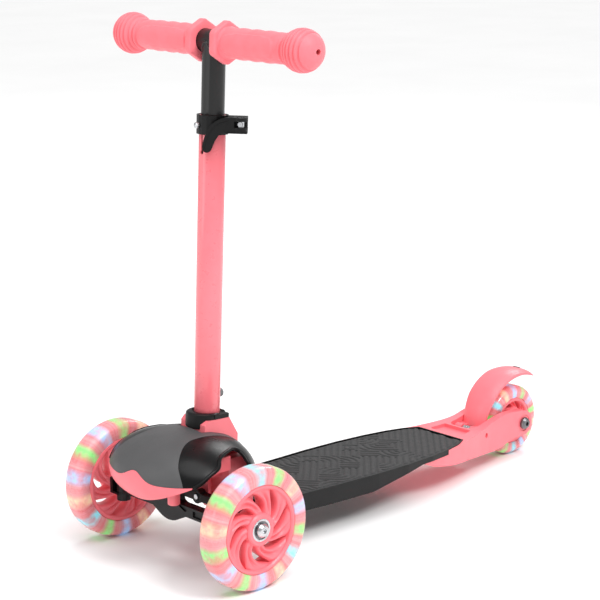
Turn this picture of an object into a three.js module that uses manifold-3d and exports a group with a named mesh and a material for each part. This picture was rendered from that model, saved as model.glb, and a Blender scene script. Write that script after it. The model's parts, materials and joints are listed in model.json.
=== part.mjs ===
// Three-wheeled lean-to-steer kick scooter for a small child, in millimetres.
// Frame: X to the rider's left, -Y forward, +Z up. The origin is on the floor, midway along and across the scooter.
// The front truck is a real linkage: the frame leans on a level axle beam, and a tie rod turns both wheel knuckles.
import * as THREE from "three";
import { mergeVertices, mergeGeometries } from "three/addons/utils/BufferGeometryUtils.js";
import Module from "manifold-3d";

const wasm = await Module();
wasm.setup();

// ---------------------------------------------------------------- driving dimensions
const GAP = 0.3; // clearance between pieces that touch
const RUN = 0.5; // clearance around pieces that turn or slide

const WHEELBASE = 478; // front axle to rear axle
const TRACK = 204; // between the middles of the front wheels
const FRONT_WHEEL = { radius: 60, width: 24, rim: 43, hub: 16, facets: 28, spokes: 8 };
const REAR_WHEEL = { radius: 40, width: 24, rim: 26, hub: 14.5, facets: 22, spokes: 6 };
const TYRE_CROWN = 8; // flat middle of the tread
const BEARING = { outer: 11, bore: 4, width: 7 }; // 608 ball bearing
const AXLE_RADIUS = BEARING.bore - GAP;
const BOLT_HEAD = { radius: 6.8, height: 5, socket: 2.6, depth: 3 };

// The deck runs from the nose to `tail` ahead of the rear axle, and falls by `drop` on the way.
const DECK = { front: 66, tail: 110, top: 52.5, drop: 6.062, mat: 2.4, plate: 3, skirt: 18.5, rim: 1.6 };
const DECK_REAR = WHEELBASE - DECK.tail;
const DECK_SLOPE = THREE.MathUtils.radToDeg(Math.atan(DECK.drop / (DECK_REAR - DECK.front)));
// Half widths of the deck: the front ones by their distance behind the front axle, the rear ones ahead of the rear axle.
const DECK_FRONT_HALVES = [[66, 42], [90, 48.5], [150, 52.5], [215, 55]];
const DECK_REAR_HALVES = [[218, 54.5], [178, 51.5], [148, 47], [126, 41], [110, 33]];
const SKIRT_RISE = { from: WHEELBASE - 273, to: WHEELBASE - 194 }; // the tray's side runs out towards the tail

const NOSE = { front: -61, middle: -4, rear: 65, halfWidth: 79, belly: 91, top: 132, low: 30, bottom: 78, wall: 2.4, power: 2.1 };
// Plan of the seam between the hood and the side panels, on one side: the hood narrows towards the column.
const HOOD_PLAN = [[90, -80], [90, -46], [56.5, -45.5], [50, -44], [44, -41], [38, -34], [32, -25], [28, -15], [27, -4], [27, 70]];
const CHIN = { seam: 95, crest: 9.3, spread: 15, edge: 76, rise: 18, half: 58, back: -40 }; // wavy seam and lower edge
// Lower edge of a side panel: it rises to the arch over the wheel's arm, and comes down behind it.
const PANEL_EDGE = [[-60, 90], [-44, 94], [-34, 99], [-23, 106.5], [-12, 111], [-6, 116], [2, 118.6], [17, 119.5], [25, 117], [29, 110], [31, 82]];
const WING = { half: 48, front: -4, back: 20, bottom: 98, top: 112 };
const SPINE = { half: 28, top: 100, back: 92 };

const LEAN_AXIS_Z = 92; // the frame leans on this pivot
const BEAM = { y: -13, depth: 10, height: 11, barrel: 9, boss: 17 };
const PIVOT = { radius: 4, lug: 4.5, head: 7 };
const KINGPIN = { x: TRACK / 2 - 26, radius: 3.4, boss: 7 };
const TIE_ROD = { y: 21, height: 8, depth: 8, pin: 2.6 };
const STEERING_LEVER = { front: 27, back: 31, half: 6, pin: 2.6, play: 1.2 };

const COLUMN = { footY: 25.4, lean: 2.82, outer: 12.7, wall: 1.3, bottom: 116, top: 432, slit: 1.8, slitEnd: 396 };
const STEM = { outer: COLUMN.outer - COLUMN.wall - GAP, wall: 1.6, bottom: 262 }; // inner tube of the height adjustment
const BAR = { height: 499, radius: 11, half: 119 };
const SPIGOT = { wall: 2, bottom: 88, top: 205, boltZ: 107, bolt: 2.8 };
const BUTTON = { height: 160, radius: 5, proud: 6 };
const CLAMP = { bottom: 413, top: 431, wall: 2.2, turn: 45, ear: 4.7, gap: 3, reach: COLUMN.outer + 20.3 };
const CLAMP_BOLT = { x: COLUMN.outer + 14.3, z: 424, radius: 2.4, end: 14, barrel: 3.4 };
const CLAMP_LEVER = { bottom: 417.5, top: 430.5, head: 7.2, arm: 4, tip: 397, tipX: -4 };
const GRIP = { inner: COLUMN.outer + GAP, flange: 20, flangeEnd: COLUMN.outer + 8.3, barrel: 15, ball: 20.6, ballX: 120, hole: 1.8 };
const COLLAR = { radius: COLUMN.outer + 4.3, forward: 4.8, lobe: 125, bottom: 139.4, top: 150, strap: 6.5 };
const HOLDER = { half: COLUMN.outer + 4.9, front: -COLUMN.outer - 4.8, shoulder: 139, back: COLUMN.outer + 12.3, heel: 121, foot: 82 };

const FORK = { inner: 16.8, outer: 26, well: WHEELBASE - 80, end: 14 };
// Side outline of the tail and its half plan, with y measured back from the rear axle.
const TAIL_BELLY = [[-190, 41], [-170, 33.5], [-134, 26], [-101, 22.5], [-57, 18], [-42, 19], [-27, 22.5]];
const TAIL_BACK = [[-22, 56.5], [-43, 54.5], [-70, 48.5], [-110, 46], [-190, 47.5]];
const TAIL_PLAN = [[51, -190], [50, -172], [46.5, -143], [41.5, -122], [34.5, -93], [28.5, -68], [26, -48], [26, 22]];
const TAIL_FLOOR = { front: 43, rear: 44, half: 22 }; // sunk floor behind the deck
const FENDER = { y: WHEELBASE - 66, z: 40, half: 15.8, wide: 18.5, wideFrom: 62, thick: 5.5, clear: 14, pin: 2.5, lug: 6, from: 178, to: 56 };
const BRAKE_SPRING = { half: 6, radius: 4.6, wire: 0.8, turns: 5 };
const SCREW = { radius: 2, head: 4, x: 20, front: 80, rearX: 24, rear: WHEELBASE - 133 };

// Wheels stand on a facet, so an axle is a little lower than the wheel's radius.
const FRONT_AXLE_Z = FRONT_WHEEL.radius * Math.cos(Math.PI / FRONT_WHEEL.facets);
const REAR_AXLE_Z = REAR_WHEEL.radius * Math.cos(Math.PI / REAR_WHEEL.facets);
const FRONT_AXLE_Y = -(NOSE.front + WHEELBASE + REAR_WHEEL.radius) / 2;
const WHEEL_X = TRACK / 2;
const KNUCKLE = { plate: WHEEL_X - FRONT_WHEEL.width / 2 - 2.5, thick: 4 };

// ---------------------------------------------------------------- materials
const paint = (color, roughness, metalness = 0) => new THREE.MeshStandardMaterial({ color, roughness, metalness });
const MATERIAL = {
  coral: paint(0xff6f79, 0.45),
  coralPaint: paint(0xff7a84, 0.3),
  charcoal: paint(0x4b4b4b, 0.6),
  gloss: paint(0x141414, 0.2),
  black: paint(0x1b1b1b, 0.45),
  mat: paint(0x333333, 0.85),
  steelBlack: paint(0x202020, 0.3, 0.4),
  steel: paint(0xc9ccd0, 0.25, 1),
  rubber: paint(0xff8c94, 0.6),
  tyre: paint(0xffb3b8, 0.2),
  lights: paint(0x8fe0ff, 0.3),
  grey: paint(0x6f7275, 0.5),
};

// ---------------------------------------------------------------- solids
const rad = THREE.MathUtils.degToRad;

// A geometry as a manifold-3d solid, so that it can be cut and joined.
function solid(geometry) {
  const bare = geometry.index ? geometry.toNonIndexed() : geometry.clone();
  bare.deleteAttribute("normal");
  bare.deleteAttribute("uv");
  const merged = mergeVertices(bare, 1e-3);
  return new wasm.Manifold(new wasm.Mesh({
    numProp: 3,
    vertProperties: merged.attributes.position.array,
    triVerts: new Uint32Array(merged.index.array),
  }));
}
const join = (...parts) => parts.reduce((sum, part) => sum.add(part));
const cut = (body, ...tools) => tools.reduce((rest, tool) => rest.subtract(tool), body);

function geometryOf(body) {
  const mesh = body.getMesh();
  return new THREE.BufferGeometry()
    .setAttribute("position", new THREE.BufferAttribute(new Float32Array(mesh.vertProperties), 3))
    .setIndex(new THREE.BufferAttribute(new Uint32Array(mesh.triVerts), 1));
}

// Box between two corners.
function box([x0, y0, z0], [x1, y1, z1]) {
  const geometry = new THREE.BoxGeometry(x1 - x0, y1 - y0, z1 - z0);
  return solid(geometry.translate((x0 + x1) / 2, (y0 + y1) / 2, (z0 + z1) / 2));
}

// Body of revolution about an axis through `at`: the profile is [radius, distance along the axis] pairs,
// listed with the distance rising on the outside, and it closes on itself.
function turned(profile, axis, at = [0, 0, 0], facets = 16) {
  const points = [...profile, profile[0]].map(([r, h]) => new THREE.Vector2(r, h));
  const geometry = new THREE.LatheGeometry(points, facets);
  if (axis === "z") geometry.rotateX(Math.PI / 2);
  if (axis === "x") geometry.rotateZ(-Math.PI / 2).rotateX(Math.PI / facets);
  return solid(geometry.translate(...at));
}
const rod = (radius, from, to, axis, at, facets = 16) =>
  turned([[0, from], [radius, from], [radius, to], [0, to]], axis, at, facets);
const ring = (inner, outer, from, to, axis, at, facets = 16) =>
  turned([[inner, from], [outer, from], [outer, to], [inner, to]], axis, at, facets);

// Flat outline pushed along an axis. The outline's two coordinates are the other two axes, in X, Y, Z order.
function pushed(outline, from, to, axis) {
  const shape = outline instanceof THREE.Shape ? outline : new THREE.Shape(outline.map(([u, v]) => new THREE.Vector2(u, v)));
  const geometry = new THREE.ExtrudeGeometry(shape, { depth: to - from, bevelEnabled: false, curveSegments: 8 });
  geometry.translate(0, 0, from);
  if (axis === "x") geometry.rotateX(Math.PI / 2).rotateZ(Math.PI / 2);
  if (axis === "y") geometry.applyMatrix4(new THREE.Matrix4().set(1, 0, 0, 0, 0, 0, 1, 0, 0, 1, 0, 0, 0, 0, 0, 1));
  if (axis === "y") flip(geometry);
  return solid(geometry);
}
function flip(geometry) {
  const p = geometry.attributes.position;
  for (let i = 0; i < p.count; i += 3) {
    const keep = [p.getX(i), p.getY(i), p.getZ(i)];
    p.setXYZ(i, p.getX(i + 1), p.getY(i + 1), p.getZ(i + 1));
    p.setXYZ(i + 1, ...keep);
  }
}

// Skin through closed loops of the same number of points, with both ends closed on the loops' middles.
function loft(loops) {
  const points = loops.flat();
  const count = loops[0].length;
  const index = [];
  for (let k = 0; k + 1 < loops.length; k++)
    for (let i = 0; i < count; i++) {
      const [a, b] = [k * count + i, k * count + ((i + 1) % count)];
      index.push(a, b, b + count, a, b + count, a + count);
    }
  for (const [start, order] of [[0, [1, 0]], [(loops.length - 1) * count, [0, 1]]]) {
    const middle = [0, 1, 2].map((axis) => loops[start / count].reduce((sum, p) => sum + p[axis], 0) / count);
    points.push(middle);
    for (let i = 0; i < count; i++) {
      const edge = [start + i, start + ((i + 1) % count)];
      index.push(edge[order[0]], edge[order[1]], points.length - 1);
    }
  }
  const geometry = new THREE.BufferGeometry();
  geometry.setAttribute("position", new THREE.Float32BufferAttribute(points.flat(), 3)).setIndex(index);
  const body = solid(geometry);
  if (body.volume() > 0) return body;
  const turnedRound = [];
  for (let i = 0; i < index.length; i += 3) turnedRound.push(index[i + 1], index[i], index[i + 2]);
  return solid(geometry.setIndex(turnedRound));
}

// ---------------------------------------------------------------- scene graph
const scooter = new THREE.Group();
const chassis = new THREE.Group(); // y is measured from the front axle here
chassis.position.y = FRONT_AXLE_Y;
const column = new THREE.Group(); // z is measured along the leaning column here
column.position.y = COLUMN.footY;
column.rotation.x = -rad(COLUMN.lean);
const clampGroup = new THREE.Group(); // x points along the clamp's ears here
clampGroup.rotation.z = rad(CLAMP.turn);
column.add(clampGroup);
chassis.add(column);
scooter.add(chassis);

function add(group, name, body, material) {
  const mesh = new THREE.Mesh(geometryOf(body), material);
  mesh.name = name;
  group.add(mesh);
}
const sides = [["left", 1], ["right", -1]];

// ---------------------------------------------------------------- wheels
// Points of a swirled spoke, from the hub out to the rim, wide at both ends.
function spokeOutline(turn, { rim, hub }) {
  const edge = (offset, narrow) =>
    [0, 0.5, 1].map((t) => {
      const r = THREE.MathUtils.lerp(hub - 1, rim - 2.5, t);
      const angle = turn + 0.55 * t + (offset * (1 - narrow * Math.sin(Math.PI * t))) / r;
      return [r * Math.cos(angle), r * Math.sin(angle)];
    });
  return [...edge(-4.6, 0.5), ...edge(4.6, 0.5).reverse()];
}

// Core with swirled spokes and a bearing seat in each face. The wheel turns about X, with its middle at x = 0.
function wheelCore({ radius, width, rim, hub, facets, spokes }) {
  const half = width / 2;
  let core = join(
    ring(rim - 4, rim, -half + 3, half - 3, "x", [0, 0, 0], facets),
    ring(5.5, hub, -half + 1, half - 1, "x", [0, 0, 0], 16),
  );
  for (let k = 0; k < spokes; k++) {
    const outline = spokeOutline((2 * Math.PI * k) / spokes, { rim, hub });
    core = core.add(pushed(outline, -half + 4.5, half - 4.5, "x"));
  }
  const seat = BEARING.outer + GAP;
  for (const side of [-1, 1]) {
    const [near, far] = [half - 1 - BEARING.width - GAP, half + 1].map((d) => d * side).sort((a, b) => a - b);
    core = core.subtract(rod(seat, near, far, "x", [0, 0, 0], 16));
  }
  return core;
}

// Tyre with the tread's rounded shoulders, flat in the middle.
function wheelTyre({ radius, width, rim, facets }) {
  const [half, flat, inner] = [width / 2, TYRE_CROWN / 2, rim + GAP];
  const shoulder = [[radius, -flat], [radius, flat], [radius - 1.6, half - 4.5], [radius - 5.5, half - 1.2]];
  const foot = [[inner + 3, half], [inner, half - 1], [inner, 1 - half], [inner + 3, -half]];
  return turned([...shoulder, ...foot, [radius - 5.5, 1.2 - half], [radius - 1.6, 4.5 - half]], "x", [0, 0, 0], facets);
}

function addWheel(name, x, y, z, size) {
  const wheel = new THREE.Group();
  wheel.position.set(x, y, z);
  chassis.add(wheel);
  add(wheel, `${name}_core`, wheelCore(size), MATERIAL.coral);
  add(wheel, `${name}_tyre`, wheelTyre(size), MATERIAL.tyre);
  const half = size.width / 2 - 1;
  for (const [side, sign] of [["outer", x < 0 ? -1 : 1], ["inner", x < 0 ? 1 : -1]]) {
    const [near, far] = [half - BEARING.width, half].map((d) => d * sign).sort((a, b) => a - b);
    const race = ring(BEARING.bore, BEARING.outer, near, far, "x", [0, 0, 0], 16);
    add(wheel, `${name}_bearing_${side}`, race, MATERIAL.steel);
  }
}

// Axle bolt with a domed socket head. The shank runs from the head towards `to`.
function axleBolt(x, side, y, z, to, shank = AXLE_RADIUS) {
  const { radius, height, socket, depth } = BOLT_HEAD;
  const head = turned([[0, 0], [radius, 0], [radius, height * 0.4], [radius * 0.72, height * 0.88], [0, height]], "x", [0, 0, 0], 12);
  const hole = rod(socket, height - depth, height + 1, "x", [0, 0, 0], 6);
  const bolt = join(cut(head, hole), rod(shank, -Math.abs(x - to), 0.5, "x", [0, 0, 0], 12));
  return (side < 0 ? bolt.mirror([1, 0, 0]) : bolt).translate([x, y, z]);
}

function addFrontWheels() {
  const half = FRONT_WHEEL.width / 2;
  for (const [name, side] of sides) {
    addWheel(`wheel_${name}`, side * WHEEL_X, 0, FRONT_AXLE_Z, FRONT_WHEEL);
    const outer = side * (WHEEL_X + half - 1 + GAP);
    const plateFace = side * (KNUCKLE.plate - KNUCKLE.thick - 0.5);
    add(chassis, `axle_bolt_${name}`, axleBolt(outer, side, 0, FRONT_AXLE_Z, plateFace), MATERIAL.steel);
    const span = [KNUCKLE.plate + GAP, WHEEL_X - half + 1 - GAP].map((d) => side * d).sort((a, b) => a - b);
    const spacer = ring(AXLE_RADIUS + GAP, 7, ...span, "x", [0, 0, FRONT_AXLE_Z], 12);
    add(chassis, `axle_spacer_${name}`, spacer, MATERIAL.steel);
  }
}

// ---------------------------------------------------------------- steering truck
// Knuckle: a barrel on the kingpin, a plate that carries the wheel's axle, and an arm back to the tie rod.
function knuckle(side) {
  const { x, boss, radius } = KINGPIN;
  const level = FRONT_AXLE_Z;
  const plate = [[-BEAM.barrel + BEAM.y + 1, level - 8], [9, level - 8], [9, level + 8], [BEAM.y - BEAM.barrel + 1, level + 8]];
  const [inner, outer] = [KNUCKLE.plate - KNUCKLE.thick, KNUCKLE.plate];
  const arm = [[inner - 5, 2], [outer, 2], [x + 5, TIE_ROD.y + 5], [x - 5, TIE_ROD.y + 5], [x - 5, TIE_ROD.y - 4]];
  const fork = TIE_ROD.height / 2 + RUN;
  let body = join(
    rod(boss, level - 14, level + 14, "z", [x, BEAM.y, 0], 16),
    pushed(plate, x, outer, "x"),
    pushed(arm, level - fork - 4, level + fork + 4, "z"),
  );
  const pocket = BEAM.height / 2 + RUN; // the beam's end sits between the barrel's two halves
  body = cut(
    body,
    box([x - boss - 8, BEAM.y - 12, level - pocket], [x + boss + RUN, BEAM.y + boss + RUN + 2, level + pocket]),
    box([x - 20, TIE_ROD.y - 8, level - fork], [x + 7.5, TIE_ROD.y + 9, level + fork]),
    rod(radius + GAP, level - 20, level + 20, "z", [x, BEAM.y, 0], 12),
    rod(TIE_ROD.pin + GAP, level - 20, level + 20, "z", [x, TIE_ROD.y, 0], 12),
    rod(AXLE_RADIUS + GAP, inner - 8, outer + 4, "x", [0, 0, level], 12),
  );
  return side < 0 ? body.mirror([1, 0, 0]) : body;
}

// Axle beam: it stays level on the road while the frame leans on it.
function axleBeam() {
  const { y, depth, height } = BEAM;
  const level = FRONT_AXLE_Z;
  let beam = join(
    box([-KINGPIN.x, y - depth / 2, level - height / 2], [KINGPIN.x, y + depth / 2, level + height / 2]),
    rod(KINGPIN.boss, level - height / 2, level + height / 2, "z", [KINGPIN.x, y, 0], 16),
    rod(KINGPIN.boss, level - height / 2, level + height / 2, "z", [-KINGPIN.x, y, 0], 16),
    rod(BEAM.boss, y - depth / 2 - 2, y + depth / 2 + 2, "y", [0, 0, level - 3], 20),
    rod(BEAM.barrel, y - depth / 2 - 2, y + depth / 2 + 2, "y", [0, 0, LEAN_AXIS_Z], 16),
    box([-9, y - depth / 2 - 2, level], [9, y + depth / 2 + 2, LEAN_AXIS_Z]),
  );
  beam = beam.subtract(rod(PIVOT.radius + GAP, y - 20, y + 20, "y", [0, 0, LEAN_AXIS_Z], 12));
  for (const [, side] of sides)
    beam = beam.subtract(rod(KINGPIN.radius + GAP, level - 20, level + 20, "z", [side * KINGPIN.x, y, 0], 12));
  return beam;
}

function addTruck() {
  const level = FRONT_AXLE_Z;
  add(chassis, "axle_beam", axleBeam(), MATERIAL.black);
  for (const [name, side] of sides) {
    add(chassis, `knuckle_${name}`, knuckle(side), MATERIAL.black);
    const at = [side * KINGPIN.x, BEAM.y, 0];
    const pin = join(
      rod(KINGPIN.radius, level - 14.5, level + 14.5, "z", at, 12),
      rod(5.5, level + 14 + GAP, level + 17, "z", at, 12),
    );
    add(chassis, `kingpin_${name}`, pin, MATERIAL.steel);
    const rodEnd = [side * KINGPIN.x, TIE_ROD.y, 0];
    const fork = TIE_ROD.height / 2 + RUN + 4;
    const link = join(
      rod(TIE_ROD.pin, level - fork - 0.5, level + fork + 0.5, "z", rodEnd, 12),
      rod(4.6, level + fork + GAP, level + fork + 2.4, "z", rodEnd, 12),
    );
    add(chassis, `tie_rod_pin_${name}`, link, MATERIAL.steel);
  }
  let tieRod = join(
    box([-KINGPIN.x, TIE_ROD.y - TIE_ROD.depth / 2, level - TIE_ROD.height / 2],
      [KINGPIN.x, TIE_ROD.y + TIE_ROD.depth / 2, level + TIE_ROD.height / 2]),
    rod(5.6, level - TIE_ROD.height / 2, level + TIE_ROD.height / 2, "z", [KINGPIN.x, TIE_ROD.y, 0], 12),
    rod(5.6, level - TIE_ROD.height / 2, level + TIE_ROD.height / 2, "z", [-KINGPIN.x, TIE_ROD.y, 0], 12),
  );
  tieRod = tieRod.add(rod(7, TIE_ROD.y - TIE_ROD.depth / 2, TIE_ROD.y + TIE_ROD.depth / 2, "y", [0, 0, level], 16));
  tieRod = tieRod.subtract(rod(STEERING_LEVER.pin + STEERING_LEVER.play, 0, 60, "y", [0, 0, level], 12));
  for (const [, side] of sides)
    tieRod = tieRod.subtract(rod(TIE_ROD.pin + GAP, 0, 99, "z", [side * KINGPIN.x, TIE_ROD.y, 0], 12));
  add(chassis, "tie_rod", tieRod, MATERIAL.black);
}

// ---------------------------------------------------------------- nose
// Moves a body from the leaning column's own frame to the chassis frame.
const onColumn = (body) => body.rotate([-COLUMN.lean, 0, 0]).translate([0, COLUMN.footY, 0]);

// Rounded body of the nose, shrunk by `inset` on every side.
function noseBody(inset, bottom = NOSE.bottom) {
  const { front, middle, rear, halfWidth, belly, top, low, power } = NOSE;
  const levels = [bottom, belly - 6, belly, belly + 12, belly + 22, belly + 31, belly + 37, top - 0.8];
  const loops = levels.map((z) => {
    const rise = Math.abs(z - belly) / (z < belly ? low : top - belly);
    const shrink = Math.pow(1 - Math.pow(rise, power), 1 / power);
    return [...Array(28).keys()].map((i) => {
      const angle = (2 * Math.PI * i) / 28;
      const bend = (value) => Math.sign(value) * Math.pow(Math.abs(value), 2 / power);
      const [c, d] = [bend(Math.cos(angle)), bend(Math.sin(angle))];
      const reach = (d < 0 ? middle - front : rear - middle) - inset;
      return [(halfWidth - inset) * shrink * c, middle + reach * shrink * d, z > belly ? z - inset : z];
    });
  });
  return loft(loops);
}

// Height of the wavy seam between hood and chin piece, and of the chin piece's lower edge.
const seamHeight = (x) => CHIN.seam + CHIN.crest * Math.exp(-((x / CHIN.spread) ** 2)) + 2 * (x / CHIN.half) ** 2;
const chinEdge = (x) => CHIN.edge + CHIN.rise * Math.pow(Math.abs(x) / CHIN.half, 1.6);

// Slab across the front of the nose, between two curves of height over x.
function frontSlab(low, high, back) {
  const steps = [...Array(21).keys()].map((i) => -CHIN.half - 2 + ((2 * CHIN.half + 4) * i) / 20);
  return pushed([...steps.map((x) => [x, low(x)]), ...steps.reverse().map((x) => [x, high(x)])], NOSE.front - 20, back, "y");
}

function addNose() {
  const shell = noseBody(0).subtract(noseBody(NOSE.wall, NOSE.bottom - 1));
  const plan = (grow) => {
    const right = HOOD_PLAN.map(([x, y]) => [x + grow, y + (x > CHIN.half ? grow : 0)]);
    return pushed([...right, ...right.map(([x, y]) => [-x, y]).reverse()], 0, 200, "z");
  };
  const slot = box([-HOLDER.half - 1, COLUMN.footY + HOLDER.front + 5, 60], [HOLDER.half + 1, 90, 200]);
  const open = box([-SPINE.half - 1, 20, 40], [SPINE.half + 1, 90, SPINE.top + 1]);
  const seat = rod(COLLAR.radius + GAP, COLLAR.lobe - GAP, 200, "z", [0, -COLLAR.forward, 0], 20); // the collar sinks in
  const under = frontSlab(() => 20, seamHeight, CHIN.back);
  const cabin = box([-CHIN.half - 2, CHIN.back - 1, 0], [CHIN.half + 2, 10, 105]); // no hood between chin and truck
  const hood = cut(shell.intersect(plan(0)), under, cabin, slot, open, onColumn(seat));
  add(chassis, "nose_hood", hood, MATERIAL.charcoal);
  const belowPanel = [[-90, 40], [-90, 88], ...PANEL_EDGE, [90, 82], [90, 40]];
  for (const [name, side] of sides) {
    const half = shell.intersect(box([0, -200, 0], [200, 200, 300]));
    const panel = cut(half, plan(GAP), open, pushed(belowPanel, 0, 120, "x"));
    add(chassis, `nose_side_${name}`, side < 0 ? panel.mirror([1, 0, 0]) : panel, MATERIAL.gloss);
  }
  const lower = noseBody(0, CHIN.edge - 4).subtract(noseBody(NOSE.wall, CHIN.edge - 5));
  const chin = lower.intersect(frontSlab(chinEdge, (x) => seamHeight(x) - GAP, CHIN.back)).intersect(plan(0));
  add(chassis, "nose_chin", chin, MATERIAL.coral);
}

// Block that holds the column, in the column's own frame, grown by `gap`.
function holder(gap) {
  const { half, front, shoulder, back, heel, foot } = HOLDER;
  const outline = [
    [front - gap, foot - gap], [back - 3 + gap, foot - gap], [back + gap, heel - 20], [back + gap, heel + gap / 2],
    [COLUMN.outer + 0.8 + gap, shoulder + gap], [front + 4 - gap / 2, shoulder + gap], [front - gap, shoulder - 4 + gap / 2],
  ];
  return pushed(outline, -half - gap, half + gap, "x");
}

// Chassis: socket for the column, lugs for the lean pivot, wings behind the arches, neck to the deck.
function addChassis() {
  const { y, depth } = BEAM;
  const neck = depth / 2 + 2 + RUN; // half the room that the beam's barrel takes along the pivot
  const roof = LEAN_AXIS_Z + BEAM.barrel + 2;
  const lean = Math.tan(rad(COLUMN.lean));
  const at = (local, z) => COLUMN.footY + local + lean * z;
  const spine = [[34, SPINE.top], [58, SPINE.top], [66, 62], [SPINE.back, 44], [SPINE.back, 36], [50, 36], [36, 60]];
  const lug = (from, to) => join(
    rod(PIVOT.head + 3, from, to, "y", [0, 0, LEAN_AXIS_Z], 16),
    box([-PIVOT.head - 3, from, LEAN_AXIS_Z], [PIVOT.head + 3, to, WING.top - 4]),
  );
  const body = join(
    onColumn(holder(0)),
    pushed(spine, -SPINE.half, SPINE.half, "x"),
    box([-WING.half, WING.front, WING.bottom], [WING.half, WING.back, WING.top]),
    box([-PIVOT.head - 3, y - neck - PIVOT.lug, roof], [PIVOT.head + 3, WING.front + 4, WING.top - 4]),
    lug(y - neck - PIVOT.lug, y - neck),
    lug(y + neck, y + neck + PIVOT.lug),
    box([-STEERING_LEVER.half, STEERING_LEVER.front, FRONT_AXLE_Z - 6], [STEERING_LEVER.half, STEERING_LEVER.back, HOLDER.foot + 3]),
  );
  const bores = join(
    rod(STEM.outer + GAP, SPIGOT.bottom - GAP, COLUMN.bottom + 1, "z", [0, 0, 0], 20),
    rod(COLUMN.outer + GAP, COLUMN.bottom - GAP, 170, "z", [0, 0, 0], 20),
  );
  const cutters = [
    onColumn(bores),
    rod(PIVOT.radius + GAP, y - 40, y + neck + 20, "y", [0, 0, LEAN_AXIS_Z], 12),
    rod(SPIGOT.bolt + GAP, -40, 40, "x", [0, at(0, SPIGOT.boltZ), SPIGOT.boltZ], 12),
    rod(STEERING_LEVER.pin + GAP, 0, 60, "y", [0, 0, FRONT_AXLE_Z], 12),
    ...screwPlaces().map(([x, v]) => rod(SCREW.radius + GAP, 0, 60, "z", [x, v, 0], 12)),
    deckSpace(GAP),
  ];
  add(chassis, "nose_chassis", cut(body, ...cutters), MATERIAL.coral);

  const pivotEnd = y + neck + PIVOT.lug;
  const pivot = join(
    rod(PIVOT.radius, y - neck - PIVOT.lug - 1, pivotEnd + 0.5, "y", [0, 0, LEAN_AXIS_Z], 12),
    rod(PIVOT.head, y - neck - PIVOT.lug - 5, y - neck - PIVOT.lug - GAP, "y", [0, 0, LEAN_AXIS_Z], 12),
  );
  add(chassis, "lean_pivot_bolt", pivot, MATERIAL.steel);
  const drive = rod(STEERING_LEVER.pin, TIE_ROD.y - TIE_ROD.depth / 2 - 1, STEERING_LEVER.back, "y", [0, 0, FRONT_AXLE_Z], 12);
  add(chassis, "steering_drive_pin", drive, MATERIAL.steel);
  const cross = join(
    rod(SPIGOT.bolt, -HOLDER.half - 1, HOLDER.half + 0.5, "x", [0, at(0, SPIGOT.boltZ), SPIGOT.boltZ], 12),
    rod(5, HOLDER.half + GAP, HOLDER.half + 3.5, "x", [0, at(0, SPIGOT.boltZ), SPIGOT.boltZ], 12),
  );
  add(chassis, "socket_bolt", cross, MATERIAL.steel);
}

// ---------------------------------------------------------------- column, clamp and handlebar
function addColumn() {
  const { outer, wall, bottom, top, slit, slitEnd } = COLUMN;
  const buttonHole = rod(BUTTON.radius + RUN, 0, 40, "y", [0, 0, BUTTON.height], 12);
  const tube = cut(
    ring(outer - wall, outer, bottom, top, "z", [0, 0, 0], 20),
    box([-slit / 2, -outer - 2, slitEnd], [slit / 2, 0, top + 1]),
    rod(2, -outer - 2, 0, "y", [0, 0, slitEnd], 12),
    buttonHole,
  );
  add(column, "column_tube", tube, MATERIAL.coralPaint);
  const spigot = cut(
    ring(STEM.outer - SPIGOT.wall, STEM.outer, SPIGOT.bottom, SPIGOT.top, "z", [0, 0, 0], 20),
    buttonHole,
    rod(SPIGOT.bolt + GAP, -30, 30, "x", [0, 0, SPIGOT.boltZ], 12),
  );
  add(column, "column_spigot", spigot, MATERIAL.steel);
  const button = join(
    turned([[0, 2.5], [BUTTON.radius, 2.5], [BUTTON.radius, outer + BUTTON.proud - 1], [BUTTON.radius - 1.4, outer + BUTTON.proud],
      [0, outer + BUTTON.proud]], "y", [0, 0, BUTTON.height], 12),
    rod(BUTTON.radius + 1.2, 2, 4, "y", [0, 0, BUTTON.height], 12),
  );
  add(column, "column_button", button, MATERIAL.grey);

  const { radius, forward, lobe, strap } = COLLAR;
  const slope = [[outer - 1.7, COLLAR.top - 4], [outer + 0.8, COLLAR.top - 4], [HOLDER.back + 3.4, HOLDER.heel + 1], [HOLDER.back + 3.4, HOLDER.heel - 3],
    [HOLDER.back - 2, HOLDER.heel - 3], [outer - 1.7, HOLDER.shoulder - 2]];
  const collar = cut(
    join(
      turned([[0, lobe], [radius, lobe], [radius, COLLAR.top - 4], [radius - 1.2, COLLAR.top], [0, COLLAR.top]], "z", [0, -forward, 0], 20),
      box([-HOLDER.half, -forward, COLLAR.bottom], [HOLDER.half, outer + GAP, COLLAR.bottom + 4]),
      pushed(slope, -strap, strap, "x"),
    ),
    rod(outer + GAP, 100, 200, "z", [0, 0, 0], 20),
    holder(GAP),
  );
  add(column, "stem_collar", collar, MATERIAL.black);
}

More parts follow.
